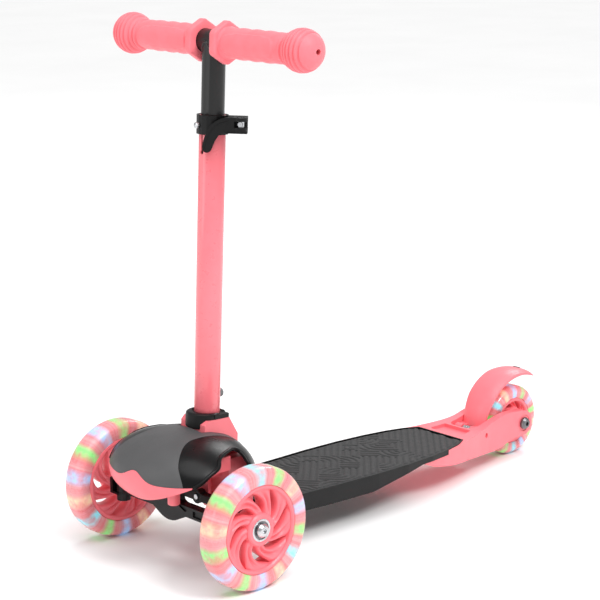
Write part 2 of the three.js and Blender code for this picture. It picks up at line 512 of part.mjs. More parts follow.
function addClamp() {
  const { bottom, top, wall, ear, gap, reach } = CLAMP;
  const inner = COLUMN.outer + GAP;
  const face = gap / 2 + ear;
  const band = cut(
    join(
      ring(inner, inner + wall, bottom, top, "z", [0, 0, 0], 20),
      box([inner + 0.5, -face, bottom + 1], [reach, face, top - 1]),
    ),
    box([0, -gap / 2, 0], [reach + 5, gap / 2, 999]),
    rod(inner, 0, 999, "z", [0, 0, 0], 20),
    rod(CLAMP_BOLT.radius + GAP, -40, 40, "y", [CLAMP_BOLT.x, 0, CLAMP_BOLT.z], 12),
  );
  add(clampGroup, "clamp_ring", band, MATERIAL.black);
  const { x, z, radius, end, barrel } = CLAMP_BOLT;
  add(clampGroup, "clamp_barrel", cut(
    rod(barrel, CLAMP_LEVER.bottom + 0.5, CLAMP_LEVER.top - 0.5, "z", [x, -end, 0], 12),
    rod(radius + GAP, -40, 40, "y", [x, 0, z], 12),
  ), MATERIAL.steel);
  add(clampGroup, "clamp_bolt", join(
    rod(radius, -end - barrel - 1, face + 1, "y", [x, 0, z], 12),
    rod(radius + 2.4, face + GAP, face + 4, "y", [x, 0, z], 12),
  ), MATERIAL.steel);
  const { head, arm, tip, tipX } = CLAMP_LEVER;
  const [low, high] = [CLAMP_LEVER.bottom, CLAMP_LEVER.top];
  const out = -COLUMN.outer - GAP - CLAMP.wall - RUN; // the arm lies just outside the band
  const curve = [[x, high], [12, high], [1.5, high - 5], [tipX - 1, high - 13], [tipX - 4, tip + 9], [tipX - 3.5, tip + 1], [tipX, tip],
    [tipX + 3, tip + 4], [1, 407], [4, 412], [9, 415.5], [13, low], [x, low]];
  const lever = cut(
    join(
      rod(head, low, high, "z", [x, -end, 0], 16),
      pushed(curve, out - arm, out, "y"),
    ),
    rod(barrel + RUN, 0, 999, "z", [x, -end, 0], 12),
    rod(head + 0.8, z - radius - RUN, z + radius + RUN, "z", [x, -end, 0], 16),
  );
  add(clampGroup, "clamp_lever", lever, MATERIAL.black);
  const screw = turned([[0, inner + wall + GAP], [3.4, inner + wall + GAP], [3, inner + wall + 1.8], [0, inner + wall + 2.6]], "y",
    [0, 0, 0], 12).rotate([0, 0, 180]).translate([-4.4, 0, CLAMP_BOLT.z - 3]);
  add(column, "clamp_screw", screw, MATERIAL.steel);
}

function addHandlebar() {
  const { height, radius, half } = BAR;
  const bar = cut(
    join(
      rod(STEM.outer, STEM.bottom, height, "z", [0, 0, 0], 20),
      rod(radius, -half, half, "x", [0, 0, height], 16),
    ),
    rod(STEM.outer - STEM.wall, STEM.bottom - 1, height - radius, "z", [0, 0, 0], 20),
    rod(radius - 2, -half - 1, -STEM.outer, "x", [0, 0, height], 16),
    rod(radius - 2, STEM.outer, half + 1, "x", [0, 0, height], 16),
  );
  add(column, "handlebar", bar, MATERIAL.steelBlack);
  const { inner, flange, flangeEnd, barrel, ball, ballX, hole } = GRIP;
  const bore = radius + GAP;
  const crown = [...Array(7).keys()].map((i) => {
    const angle = Math.PI * (0.24 + 0.73 * (i / 6));
    return [ball * Math.sin(angle), ballX - ball * Math.cos(angle)];
  });
  for (const [name, side] of sides) {
    const profile = [[bore, inner], [flange, inner], [flange, flangeEnd], [barrel, flangeEnd + 1], ...crown.slice(0, -1),
      [hole, ballX + ball], [hole, half + GAP], [bore, half + GAP]];
    const grip = cut(turned(profile, "x", [0, 0, height], 20));
    add(column, `grip_${name}`, side < 0 ? grip.mirror([1, 0, 0]) : grip, MATERIAL.rubber);
  }
}

// ---------------------------------------------------------------- deck and tail
// Plan outline of the deck, drawn in by `inset`, in the deck's own frame (y runs back from its front edge).
function deckOutline(inset) {
  const widths = [...DECK_FRONT_HALVES, ...DECK_REAR_HALVES.map(([ahead, half]) => [WHEELBASE - ahead, half])];
  const last = widths.length - 1;
  const right = widths.map(([y, half], i) => {
    const pull = i === 0 ? inset : i === last ? -inset : 0;
    return [half - inset, y - DECK.front + pull];
  });
  return [...right, ...right.map(([x, y]) => [-x, y]).reverse()];
}
const screwPlaces = () =>
  [[SCREW.x, SCREW.front], [SCREW.rearX, SCREW.rear]].flatMap(([x, y]) => [[x, y], [-x, y]]);
const deckFrame = (body) => body.rotate([-DECK_SLOPE, 0, 0]).translate([0, DECK.front, DECK.top]);

// Room that the tray and the mat take, grown by `gap`.
function deckSpace(gap) {
  const { mat, plate } = DECK;
  return deckFrame(pushed(deckOutline(-gap), -mat - plate - GAP - gap, 50, "z"));
}

function addDeck() {
  const { mat, plate, skirt, rim, front } = DECK;
  const floor = -mat - GAP;
  const length = DECK_REAR - front;
  const { from, to } = SKIRT_RISE;
  const wedge = [[from - front, -skirt], [to - front, floor - plate], [length + 5, floor - plate], [length + 5, -99], [-5, -99], [-5, -skirt]];
  let tray = cut(
    pushed(deckOutline(0), -skirt, 0, "z"),
    pushed(deckOutline(rim), floor, 1, "z"),
    pushed(deckOutline(3), -skirt - 1, floor - plate, "z"),
  );
  const ribs = [60, 120, 180].map((y) => box([-50, y, -skirt + 2], [50, y + 2.5, floor - 0.5]));
  const spines = [-22, 22].map((x) => box([x - 1.25, 30, -skirt + 2], [x + 1.25, 216, floor - 0.5]));
  tray = join(tray, ...[...ribs, ...spines].map((rib) => rib.intersect(pushed(deckOutline(1), -skirt, floor - 0.2, "z"))));
  const nest = box([-SPINE.half - GAP, -5, -99], [SPINE.half + GAP, SPINE.back - front + GAP, floor - plate]);
  tray = cut(tray, pushed(wedge, -99, 99, "x"), nest);
  tray = deckFrame(tray);
  for (const [x, y] of screwPlaces()) tray = tray.subtract(rod(SCREW.radius + GAP, 0, 99, "z", [x, y, 0], 12));
  add(chassis, "deck_tray", tray, MATERIAL.black);
  add(chassis, "deck_mat", deckFrame(pushed(deckOutline(rim + GAP), -mat, 0, "z")), MATERIAL.mat);
  screwPlaces().forEach(([x, y], i) => {
    const top = DECK.top - Math.tan(rad(DECK_SLOPE)) * (y - DECK.front) - mat - GAP - 1;
    const foot = y < 200 ? 36 : 25.5;
    const screw = join(
      rod(SCREW.radius, foot - 1, top, "z", [x, y, 0], 12),
      rod(SCREW.head, foot - 2.5, foot - GAP, "z", [x, y, 0], 12),
    );
    add(chassis, `deck_screw_${i + 1}`, screw, MATERIAL.steel);
  });
}

// Tail: it holds the deck's rear edge and forks round the rear wheel.
function addTail() {
  const [y, z] = [WHEELBASE, REAR_AXLE_Z];
  const end = [...Array(9).keys()].map((i) => {
    const angle = Math.PI * (0.42 - (0.9 * i) / 8);
    return [y + FORK.end * Math.cos(angle), z + FORK.end * Math.sin(angle)];
  });
  const behind = ([v, height]) => [y + v, height];
  const side = [...TAIL_BELLY.map(behind), ...end.reverse(), ...TAIL_BACK.map(behind)];
  const plan = [...TAIL_PLAN, ...TAIL_PLAN.map(([x, v]) => [-x, v]).reverse()].map(([x, v]) => [x, y + v]);
  const { front, rear, half } = TAIL_FLOOR;
  const floor = [[DECK_REAR + 6, 99], [DECK_REAR + 6, front], [FORK.well + 2, rear], [FORK.well + 2, 99]];
  const tail = cut(
    pushed(side, -60, 60, "x").intersect(pushed(plan, 0, 99, "z")),
    box([-FORK.inner, FORK.well, 0], [FORK.inner, y + 82, 99]),
    pushed(floor, -half, half, "x"),
    deckSpace(GAP),
    rod(AXLE_RADIUS + GAP, -60, 60, "x", [0, y, z], 12),
    rod(FENDER.pin + GAP, -60, 60, "x", [0, FENDER.y, FENDER.z], 12),
    ...screwPlaces().map(([x, v]) => rod(SCREW.radius + GAP, 0, 99, "z", [x, v, 0], 12)),
  );
  add(chassis, "tail_fork", tail, MATERIAL.coral);
}

// ---------------------------------------------------------------- rear wheel and brake
function addRearWheel() {
  const [y, z] = [WHEELBASE, REAR_AXLE_Z];
  addWheel("wheel_rear", 0, y, z, REAR_WHEEL);
  const bolt = axleBolt(FORK.outer + GAP, 1, y, z, -FORK.outer - 4.5);
  add(chassis, "rear_axle_bolt", bolt, MATERIAL.steel);
  const nut = cut(
    rod(BOLT_HEAD.radius, -FORK.outer - 4.5, -FORK.outer - GAP, "x", [0, y, z], 6),
    rod(AXLE_RADIUS + GAP, -60, 0, "x", [0, y, z], 12),
  );
  add(chassis, "rear_axle_nut", nut, MATERIAL.steel);
  for (const [name, side] of sides) {
    const span = [REAR_WHEEL.width / 2 - 1 + GAP, FORK.inner - GAP].map((d) => side * d).sort((a, b) => a - b);
    add(chassis, `rear_axle_spacer_${name}`, ring(AXLE_RADIUS + GAP, 6.5, ...span, "x", [0, y, z], 12), MATERIAL.steel);
  }
}

class Helix extends THREE.Curve {
  getPoint(t, target = new THREE.Vector3()) {
    const { half, radius, wire, turns } = BRAKE_SPRING;
    const angle = 2 * Math.PI * turns * t;
    return target.set((2 * t - 1) * (half - wire - 0.2), radius * Math.cos(angle), radius * Math.sin(angle));
  }
}

// Fender that the heel presses on to the rear wheel.
function addBrake() {
  const { half, wide, wideFrom, thick, clear, pin, lug, from, to } = FENDER;
  const [y, z] = [WHEELBASE, REAR_AXLE_Z];
  const inner = REAR_WHEEL.radius + clear;
  const arc = (radius, a0, a1) =>
    [...Array(13).keys()].map((i) => {
      const angle = rad(a0 + ((a1 - a0) * i) / 12);
      return [y + radius * Math.cos(angle), z + radius * Math.sin(angle)];
    });
  const outline = [...arc(inner, from, to), ...arc(inner + thick, to + 3, from)];
  const crown = join(
    pushed(outline, -half, half, "x"),
    pushed(outline, -wide, wide, "x").intersect(box([-99, 0, wideFrom], [99, 999, 999])),
  );
  const base = box([-half, FENDER.y, z - 6], [half, y - inner - 0.5, z + 5]);
  const fender = cut(
    join(crown, base, rod(lug, -half, half, "x", [0, FENDER.y, FENDER.z], 16)),
    box([-BRAKE_SPRING.half, FENDER.y - lug - 2, z - 8], [BRAKE_SPRING.half, FENDER.y + lug + 0.5, z + 7]),
    rod(pin + GAP, -40, 40, "x", [0, FENDER.y, FENDER.z], 12),
    rod(REAR_WHEEL.radius + clear - 2, -40, 40, "x", [0, y, z], 20),
  );
  add(chassis, "brake_fender", fender, MATERIAL.coral);
  const pivot = join(
    rod(pin, -FORK.outer - 6, FORK.outer + 4, "x", [0, FENDER.y, FENDER.z], 12),
    rod(pin + 2, FORK.outer + 3.6, FORK.outer + 5.6, "x", [0, FENDER.y, FENDER.z], 12),
  );
  add(chassis, "brake_pin", pivot, MATERIAL.steel);
  const { wire, turns } = BRAKE_SPRING;
  const section = new THREE.Shape([...Array(6).keys()].map((i) => {
    const angle = (Math.PI * i) / 3;
    return new THREE.Vector2(wire * Math.cos(angle), wire * Math.sin(angle));
  }));
  const coil = new THREE.ExtrudeGeometry(section, { steps: turns * 8, extrudePath: new Helix(), bevelEnabled: false });
  add(chassis, "brake_spring", solid(coil).translate([0, FENDER.y, FENDER.z]), MATERIAL.steel);
}

addFrontWheels();
addTruck();
addNose();
addChassis();
addColumn();
addClamp();
addHandlebar();
addDeck();
addTail();
addRearWheel();
addBrake();

export default scooter;
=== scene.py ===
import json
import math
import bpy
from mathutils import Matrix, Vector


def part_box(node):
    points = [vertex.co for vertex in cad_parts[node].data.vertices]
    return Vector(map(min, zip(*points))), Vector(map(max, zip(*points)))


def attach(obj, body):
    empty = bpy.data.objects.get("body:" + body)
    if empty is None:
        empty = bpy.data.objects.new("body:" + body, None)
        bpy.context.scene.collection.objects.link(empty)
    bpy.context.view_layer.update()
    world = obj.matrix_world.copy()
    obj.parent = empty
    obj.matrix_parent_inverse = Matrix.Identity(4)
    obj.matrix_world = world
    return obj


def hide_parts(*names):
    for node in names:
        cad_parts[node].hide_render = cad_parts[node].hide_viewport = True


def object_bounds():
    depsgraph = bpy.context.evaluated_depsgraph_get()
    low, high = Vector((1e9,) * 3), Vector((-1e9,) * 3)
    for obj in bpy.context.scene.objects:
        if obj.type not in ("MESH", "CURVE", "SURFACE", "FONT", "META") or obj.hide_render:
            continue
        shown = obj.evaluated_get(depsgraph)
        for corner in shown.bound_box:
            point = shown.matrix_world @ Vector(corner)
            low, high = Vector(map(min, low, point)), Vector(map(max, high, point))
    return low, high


bl_info = {
    "name": "Lean-to-Steer Kick Scooter",
    "version": (1, 0, 0),
    "blender": (4, 5, 0),
    "location": "View3D > Sidebar > Scooter",
    "description": "Builds a child's three-wheeled kick scooter, piece by piece",
    "category": "Object",
}

import bmesh
import bpy
from mathutils import Matrix, Vector

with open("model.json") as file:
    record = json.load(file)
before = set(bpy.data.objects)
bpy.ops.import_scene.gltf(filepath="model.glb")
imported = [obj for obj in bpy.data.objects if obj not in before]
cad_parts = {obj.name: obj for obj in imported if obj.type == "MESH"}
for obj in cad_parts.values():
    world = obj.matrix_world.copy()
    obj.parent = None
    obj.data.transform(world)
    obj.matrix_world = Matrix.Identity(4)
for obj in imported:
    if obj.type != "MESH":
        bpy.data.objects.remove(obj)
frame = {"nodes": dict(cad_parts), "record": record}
CAD_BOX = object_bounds()

MM = 0.001
JOINTS = {joint["name"]: joint for joint in frame["record"]["behaviour"]["joints"]}
# Pieces are drawn in millimetres, with y measured back from the front axle and z up from the floor.
AXLE_Y = JOINTS["wheel_left_spin"]["pos_m"][1] / MM
TRACK_HALF = JOINTS["wheel_left_spin"]["pos_m"][0] / MM
FRONT_Z = JOINTS["wheel_left_spin"]["pos_m"][2] / MM
REAR_Y = JOINTS["wheel_rear_spin"]["pos_m"][1] / MM - AXLE_Y
REAR_Z = JOINTS["wheel_rear_spin"]["pos_m"][2] / MM
PIVOT_Y = JOINTS["lean"]["pos_m"][1] / MM - AXLE_Y
PIVOT_Z = JOINTS["lean"]["pos_m"][2] / MM
KINGPIN_X = JOINTS["steer_left"]["pos_m"][0] / MM
BRAKE_PIN = (0, JOINTS["brake_press"]["pos_m"][1] / MM - AXLE_Y, JOINTS["brake_press"]["pos_m"][2] / MM)
COLUMN_LEAN = math.atan2(JOINTS["height_slide"]["axis"][1], JOINTS["height_slide"]["axis"][2])
COLUMN_FOOT_Y = 25.4
COLUMN = {"foot": 116, "top": 430.8, "slot": 396, "button": 160, "bar": 499}
SIDES = (("left", 1), ("right", -1))
TURN = 2 * math.pi


# ---------------------------------------------------------------- sizes and colours a user may change
def length(name, description, millimetres):
    """A length property, given in millimetres and kept in metres."""
    return bpy.props.FloatProperty(
        name=name, description=description, default=millimetres * MM, min=0.0, unit="LENGTH", precision=4
    )


def colour(name, description, red, green, blue):
    """A colour property from 0 to 255 display values."""
    linear = tuple(to_linear(value / 255) for value in (red, green, blue))
    return bpy.props.FloatVectorProperty(
        name=name, description=description, default=linear, min=0.0, max=1.0, size=3, subtype="COLOR"
    )


def to_linear(value):
    """Scene-linear amount of one display colour value."""
    return value / 12.92 if value <= 0.04045 else ((value + 0.055) / 1.055) ** 2.4


class ScooterWheelSizes(bpy.types.PropertyGroup):
    """Sizes of the three wheels"""

    front_radius: length("Front Radius", "Outer radius of a front tyre", 59.6)
    rear_radius: length("Rear Radius", "Outer radius of the rear tyre", 39.55)
    width: length("Width", "Width of a tyre", 24)
    front_rim: length("Front Rim", "Radius where a front tyre meets its core", 43)
    rear_rim: length("Rear Rim", "Radius where the rear tyre meets its core", 26)


class ScooterColumnSizes(bpy.types.PropertyGroup):
    """Sizes of the steering column, its clamp and the grips"""

    outer: length("Column Radius", "Outer radius of the painted column tube", 12.7)
    inner: length("Stem Radius", "Outer radius of the sliding black stem", 11.1)
    bar: length("Bar Radius", "Radius of the cross tube", 11)
    grip: length("Grip Radius", "Radius of a grip's barrel", 14.6)
    ball: length("Ball Radius", "Radius of the ball at a grip's end", 20.2)


class ScooterDeckSizes(bpy.types.PropertyGroup):
    """Sizes of the deck mat's embossing"""

    rib_pitch: length("Rib Pitch", "Distance between two ribs of the mat", 6.9)
    rib_height: length("Rib Height", "How far a rib stands up from the mat", 0.9)
    mesh_step: length("Mesh Step", "Distance between two points of the mat's mesh", 0.95)


class ScooterColours(bpy.types.PropertyGroup):
    """Colours of the scooter's finishes"""

    coral: colour("Coral", "Moulded coral plastic", 253, 122, 132)
    paint: colour("Column Paint", "Gloss coral paint of the column", 253, 124, 134)
    grip: colour("Grip Rubber", "Soft coral rubber of the grips", 253, 124, 134)
    hood: colour("Hood", "Matte grey plastic of the nose", 78, 78, 79)
    side: colour("Side Panels", "Gloss black plastic", 9, 9, 10)
    black: colour("Black Plastic", "Moulded black plastic", 9, 9, 10)
    mat: colour("Deck Mat", "Dark rubber of the deck", 38, 38, 39)
    tyre: colour("Tyre", "Clear cast urethane", 248, 132, 140)


# ---------------------------------------------------------------- shapes, in millimetres
def arc(centre, radius, start, end, steps=8):
    """Points of an arc in a plane, with its angles in degrees."""
    angles = [math.radians(start + (end - start) * i / steps) for i in range(steps + 1)]
    return [(centre[0] + radius * math.cos(a), centre[1] + radius * math.sin(a)) for a in angles]


def spline(points, steps=6):
    """Smooth curve through points in a plane or in space."""
    points = [Vector(p) for p in points]
    count = len(points)
    out = []
    for i in range(count - 1):
        b, c = points[i], points[i + 1]
        a = points[i - 1] if i else b * 2 - c
        d = points[i + 2] if i + 2 < count else c * 2 - b
        for k in range(steps):
            t = k / steps
            bend, twist = 2 * a - 5 * b + 4 * c - d, 3 * b - a - 3 * c + d
            out.append(0.5 * ((2 * b) + (c - a) * t + bend * t * t + twist * t**3))
    out.append(points[-1])
    return [tuple(p) for p in out]


def read(table, at):
    """Straight-line reading of a table of (position, value) pairs."""
    if at <= table[0][0]:
        return table[0][1]
    for (x0, v0), (x1, v1) in zip(table, table[1:]):
        if at <= x1:
            return v0 + (v1 - v0) * (at - x0) / (x1 - x0)
    return table[-1][1]


def lathe(profile, axis, segments=64, at=(0, 0, 0)):
    """Closed body of revolution from (radius, distance along the axis) pairs."""
    points, faces = [], []
    for k in range(segments):
        c, s = math.cos(TURN * k / segments), math.sin(TURN * k / segments)
        for r, h in profile:
            spot = {"x": (h, r * c, r * s), "y": (r * s, h, r * c), "z": (r * c, r * s, h)}[axis]
            points.append(tuple(a + b for a, b in zip(spot, at)))
    count = len(profile)
    for k in range(segments):
        near, far = k * count, ((k + 1) % segments) * count
        for i in range(count):
            j = (i + 1) % count
            faces.append((near + i, near + j, far + j, far + i))
    return points, faces


def rod(radius, low, high, axis, segments=32, at=(0, 0, 0)):
    """Plain round bar along an axis, for bores, bosses and barrels."""
    return lathe([(0.01, low), (radius, low), (radius, high), (0.01, high)], axis, segments, at)


def loft(loops, capped=True):
    """Skin through loops of the same number of points."""
    count = len(loops[0])
    points = [tuple(p) for loop in loops for p in loop]
    faces = []
    for k in range(len(loops) - 1):
        for i in range(count):
            j = (i + 1) % count
            faces.append((k * count + i, k * count + j, (k + 1) * count + j, (k + 1) * count + i))
    if capped:
        faces.append(tuple(reversed(range(count))))
        faces.append(tuple(range((len(loops) - 1) * count, len(loops) * count)))
    return points, faces


def slab(outline, low, high, axis):
    """Flat outline pushed along an axis. Its coordinates are the other two axes, in x, y, z order."""
    order = {"x": (2, 0, 1), "y": (0, 2, 1), "z": (0, 1, 2)}[axis]
    return loft([[tuple((u, v, height)[k] for k in order) for u, v in outline] for height in (low, high)])


def block(low, high):
    """Plain box between two corners, for cutting with."""
    outline = [(low[0], low[1]), (high[0], low[1]), (high[0], high[1]), (low[0], high[1])]
    return slab(outline, low[2], high[2], "z")


def sheet(outer, inner):
    """Closed shell between two grids of points of the same size."""
    rows, cols = len(outer), len(outer[0])
    points = [tuple(p) for grid in (outer, inner) for row in grid for p in row]
    back = rows * cols
    faces = []
    for i in range(rows - 1):
        for j in range(cols - 1):
            a, b, c, d = i * cols + j, i * cols + j + 1, (i + 1) * cols + j + 1, (i + 1) * cols + j
            faces += [(a, b, c, d), (back + d, back + c, back + b, back + a)]
    edge = [(0, j) for j in range(cols)] + [(i, cols - 1) for i in range(1, rows)]
    edge += [(rows - 1, j) for j in range(cols - 2, -1, -1)] + [(i, 0) for i in range(rows - 2, 0, -1)]
    ring = [i * cols + j for i, j in edge]
    for a, b in zip(ring, ring[1:] + ring[:1]):
        faces.append((b, a, back + a, back + b))
    return points, faces


def merged(*shapes):
    """Several shapes as one."""
    points, faces = [], []
    for more_points, more_faces in shapes:
        start = len(points)
        points += more_points
        faces += [tuple(start + i for i in face) for face in more_faces]
    return points, faces


def moved(shape, matrix):
    """A shape moved by a matrix."""
    points, faces = shape
    return [tuple(matrix @ Vector(p)) for p in points], faces


def on_column(shape):
    """A shape drawn along an upright column, set on the leaning one."""
    return moved(shape, Matrix.Translation((0, COLUMN_FOOT_Y, 0)) @ Matrix.Rotation(-COLUMN_LEAN, 4, "X"))


# ---------------------------------------------------------------- making pieces
def raw_object(name, shape, origin=(0, 0, 0)):
    """Object with a clean closed mesh, placed in metres at an origin given in millimetres."""
    points, faces = shape
    mesh = bpy.data.meshes.new(name)
    start = Vector(origin)
    mesh.from_pydata([(Vector(p) - start) * MM for p in points], [], faces)
    work = bmesh.new()
    work.from_mesh(mesh)
    bmesh.ops.remove_doubles(work, verts=work.verts, dist=1e-7)
    bmesh.ops.dissolve_degenerate(work, edges=work.edges, dist=1e-7)
    bmesh.ops.recalc_face_normals(work, faces=work.faces)
    work.to_mesh(mesh)
    work.free()
    obj = bpy.data.objects.new(name, mesh)
    obj.location = (start + Vector((0, AXLE_Y, 0))) * MM
    bpy.context.scene.collection.objects.link(obj)
    return obj


def fixed_mesh(obj):
    """Applies an object's modifiers to its mesh."""
    graph = bpy.context.evaluated_depsgraph_get()
    mesh = bpy.data.meshes.new_from_object(obj.evaluated_get(graph))
    obj.modifiers.clear()
    obj.data = mesh


def carve(obj, *shapes, operation="DIFFERENCE"):
    """Cuts shapes from an object, or joins or keeps what they share."""
    for shape in shapes:
        tool = raw_object("cutter", shape)
        change = obj.modifiers.new("change", "BOOLEAN")
        change.object = tool
        change.operation = operation
        change.solver = "EXACT"
        fixed_mesh(obj)
        bpy.data.objects.remove(tool)


def rounded(obj, bevel, segments, angle, harden=False):
    """Rounds an object's edges that are sharper than an angle."""
    rounding = obj.modifiers.new("rounding", "BEVEL")
    rounding.width = bevel * MM
    rounding.segments = segments
    rounding.limit_method = "ANGLE"
    rounding.angle_limit = math.radians(angle)
    rounding.harden_normals = harden


def finish_piece(obj, body, slot, finish=None, replaces=(), bevel=0.0, segments=2, angle=32.0):
    """Shades, rounds and parents a piece to its body's empty, in its slot's own finish unless another is
    named.
    """
    obj.data.materials.clear()
    obj.data.materials.append(FINISH[finish or slot])
    obj.data.shade_smooth()
    obj.data.set_sharp_from_angle(angle=math.radians(angle))
    if bevel:
        rounded(obj, bevel, segments, angle, harden=True)
    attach(obj, body)
    if replaces:
        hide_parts(*replaces)


def make(name, shape, body, slot, origin=(0, 0, 0), **options):
    """Makes a piece straight from a shape."""
    finish_piece(raw_object(name, shape, origin), body, slot, **options)


def dress(node, finish, bevel=0.0, segments=2, angle=32.0):
    """Gives a structural node its finish and softly rounded edges."""
    obj = frame["nodes"][node]
    obj.data.materials.clear()
    obj.data.materials.append(FINISH[finish])
    if bevel:
        rounded(obj, bevel, segments, angle)


# ---------------------------------------------------------------- finishes
class Finish:
    """Small builder for a procedural material."""

    def __init__(self, name):
        self.material = bpy.data.materials.new(name)
        self.material.use_nodes = True
        self.nodes = self.material.node_tree.nodes
        self.links = self.material.node_tree.links
        self.shader = self.nodes["Principled BSDF"]
        self.place = self.nodes.new("ShaderNodeTexCoord").outputs["Object"]

    def set(self, **values):
        """Sets sockets of the shader, with spaces written as underscores."""
        for key, value in values.items():
            self.shader.inputs[key.replace("_", " ")].default_value = value

    def noise(self, scale, detail=4.0, rough=0.55, vector=None):
        """Even noise over the piece, or over a vector's directions."""
        node = self.nodes.new("ShaderNodeTexNoise")
        node.inputs["Scale"].default_value = scale
        node.inputs["Detail"].default_value = detail
        node.inputs["Roughness"].default_value = rough
        self.links.new(vector or self.place, node.inputs["Vector"])
        return node.outputs["Fac"]

    def spread(self, source, low, high, start=0.3, end=0.7):
        """Maps a source's usual range to a low and a high value."""
        node = self.nodes.new("ShaderNodeMapRange")
        for socket, value in zip(("From Min", "From Max", "To Min", "To Max"), (start, end, low, high)):
            node.inputs[socket].default_value = value
        self.links.new(source, node.inputs["Value"])
        return node.outputs["Result"]

    def math(self, operation, *values):
        """Result of a small sum on numbers or the outputs of other nodes."""
        node = self.nodes.new("ShaderNodeMath")
        node.operation = operation
        for socket, value in zip(node.inputs, values):
            if isinstance(value, (int, float)):
                socket.default_value = value
            else:
                self.links.new(value, socket)
        return node.outputs[0]

    def mix(self, factor, first, second):
        """Mixes two colours, or the outputs of two nodes."""
        node = self.nodes.new("ShaderNodeMix")
        node.data_type = "RGBA"
        for index, value in ((6, first), (7, second)):
            if isinstance(value, tuple):
                node.inputs[index].default_value = (*value[:3], 1.0)
            else:
                self.links.new(value, node.inputs[index])
        if isinstance(factor, float):
            node.inputs[0].default_value = factor
        else:
            self.links.new(factor, node.inputs[0])
        return node.outputs[2]

    def to(self, socket, source):
        """Links a node's output to a socket of the shader."""
        self.links.new(source, self.shader.inputs[socket])

    def bump(self, source, distance):
        """Raises the surface by a source, up to a distance in metres."""
        node = self.nodes.new("ShaderNodeBump")
        node.inputs["Strength"].default_value = 1.0
        node.inputs["Distance"].default_value = distance
        self.links.new(source, node.inputs["Height"])
        self.to("Normal", node.outputs["Normal"])

    def mottle(self, base, scale, detail, dark, light):
        """Base colour that drifts a little darker and lighter over the surface."""
        drift = self.spread(self.noise(scale, detail), 0.0, 1.0)
        self.to("Base Color", self.mix(drift, shade(base, dark), shade(base, light)))

    def uneven(self, scale, detail, rough, low, high):
        """Roughness that runs from a polished to a dull value over the surface."""
        self.to("Roughness", self.spread(self.noise(scale, detail, rough), low, high))


def shade(value, factor):
    """A colour made lighter or darker."""
    return tuple(min(channel * factor, 1.0) for channel in value)


def moulded(name, base, roughness, grain=0.00003, grain_scale=2600, wear=0.12, coat=0.0, specular=0.5):
    """Moulded plastic: a fine spark-eroded grain, with slightly polished and dusty places."""
    finish = Finish(name)
    finish.set(Specular_IOR_Level=specular, Coat_Weight=coat, Coat_Roughness=0.12)
    finish.mottle(base, 38, 5, 0.94, 1.05)
    finish.uneven(95, 6, 0.65, roughness - wear / 2, roughness + wear / 2)
    finish.bump(finish.noise(grain_scale, 2), grain)
    return finish.material


def painted(name, base, roughness, coat=0.5):
    """Sprayed and baked paint with a faint orange peel under a clear coat."""
    finish = Finish(name)
    finish.set(Coat_Weight=coat, Coat_Roughness=0.06)
    finish.mottle(base, 60, 3, 0.97, 1.03)
    finish.uneven(160, 5, 0.7, roughness - 0.05, roughness + 0.06)
    finish.bump(finish.noise(700, 2), 0.000006)
    return finish.material


def plated(name, base, roughness):
    """Zinc-plated steel with fine turning marks and handling marks."""
    finish = Finish(name)
    finish.set(Metallic=1.0)
    finish.mottle(base, 300, 5, 0.82, 1.08)
    finish.uneven(700, 4, 0.7, roughness - 0.08, roughness + 0.12)
    finish.bump(finish.noise(1800, 3), 0.00002)
    return finish.material


def rubbery(name, base, roughness):
    """Soft rubber with a dull skin."""
    finish = Finish(name)
    finish.set(Specular_IOR_Level=0.35, Sheen_Weight=0.12, Sheen_Roughness=0.5)
    finish.mottle(base, 70, 6, 0.93, 1.05)
    finish.uneven(220, 5, 0.55, roughness - 0.08, roughness + 0.08)
    finish.bump(finish.noise(1900, 3), 0.00005)
    return finish.material


def light_colours(finish, around, lights):
    """Colour of the nearest light at each part of a turn round the tyre."""
    ramp = finish.nodes.new("ShaderNodeValToRGB")
    ramp.color_ramp.interpolation = "CONSTANT"
    for k, rgb in enumerate(lights):
        spot = ramp.color_ramp.elements[k] if k < 2 else ramp.color_ramp.elements.new(k / len(lights))
        spot.position = k / len(lights)
        spot.color = (*[to_linear(v / 255) for v in rgb], 1.0)
    finish.links.new(around, ramp.inputs["Fac"])
    return ramp.outputs["Color"]


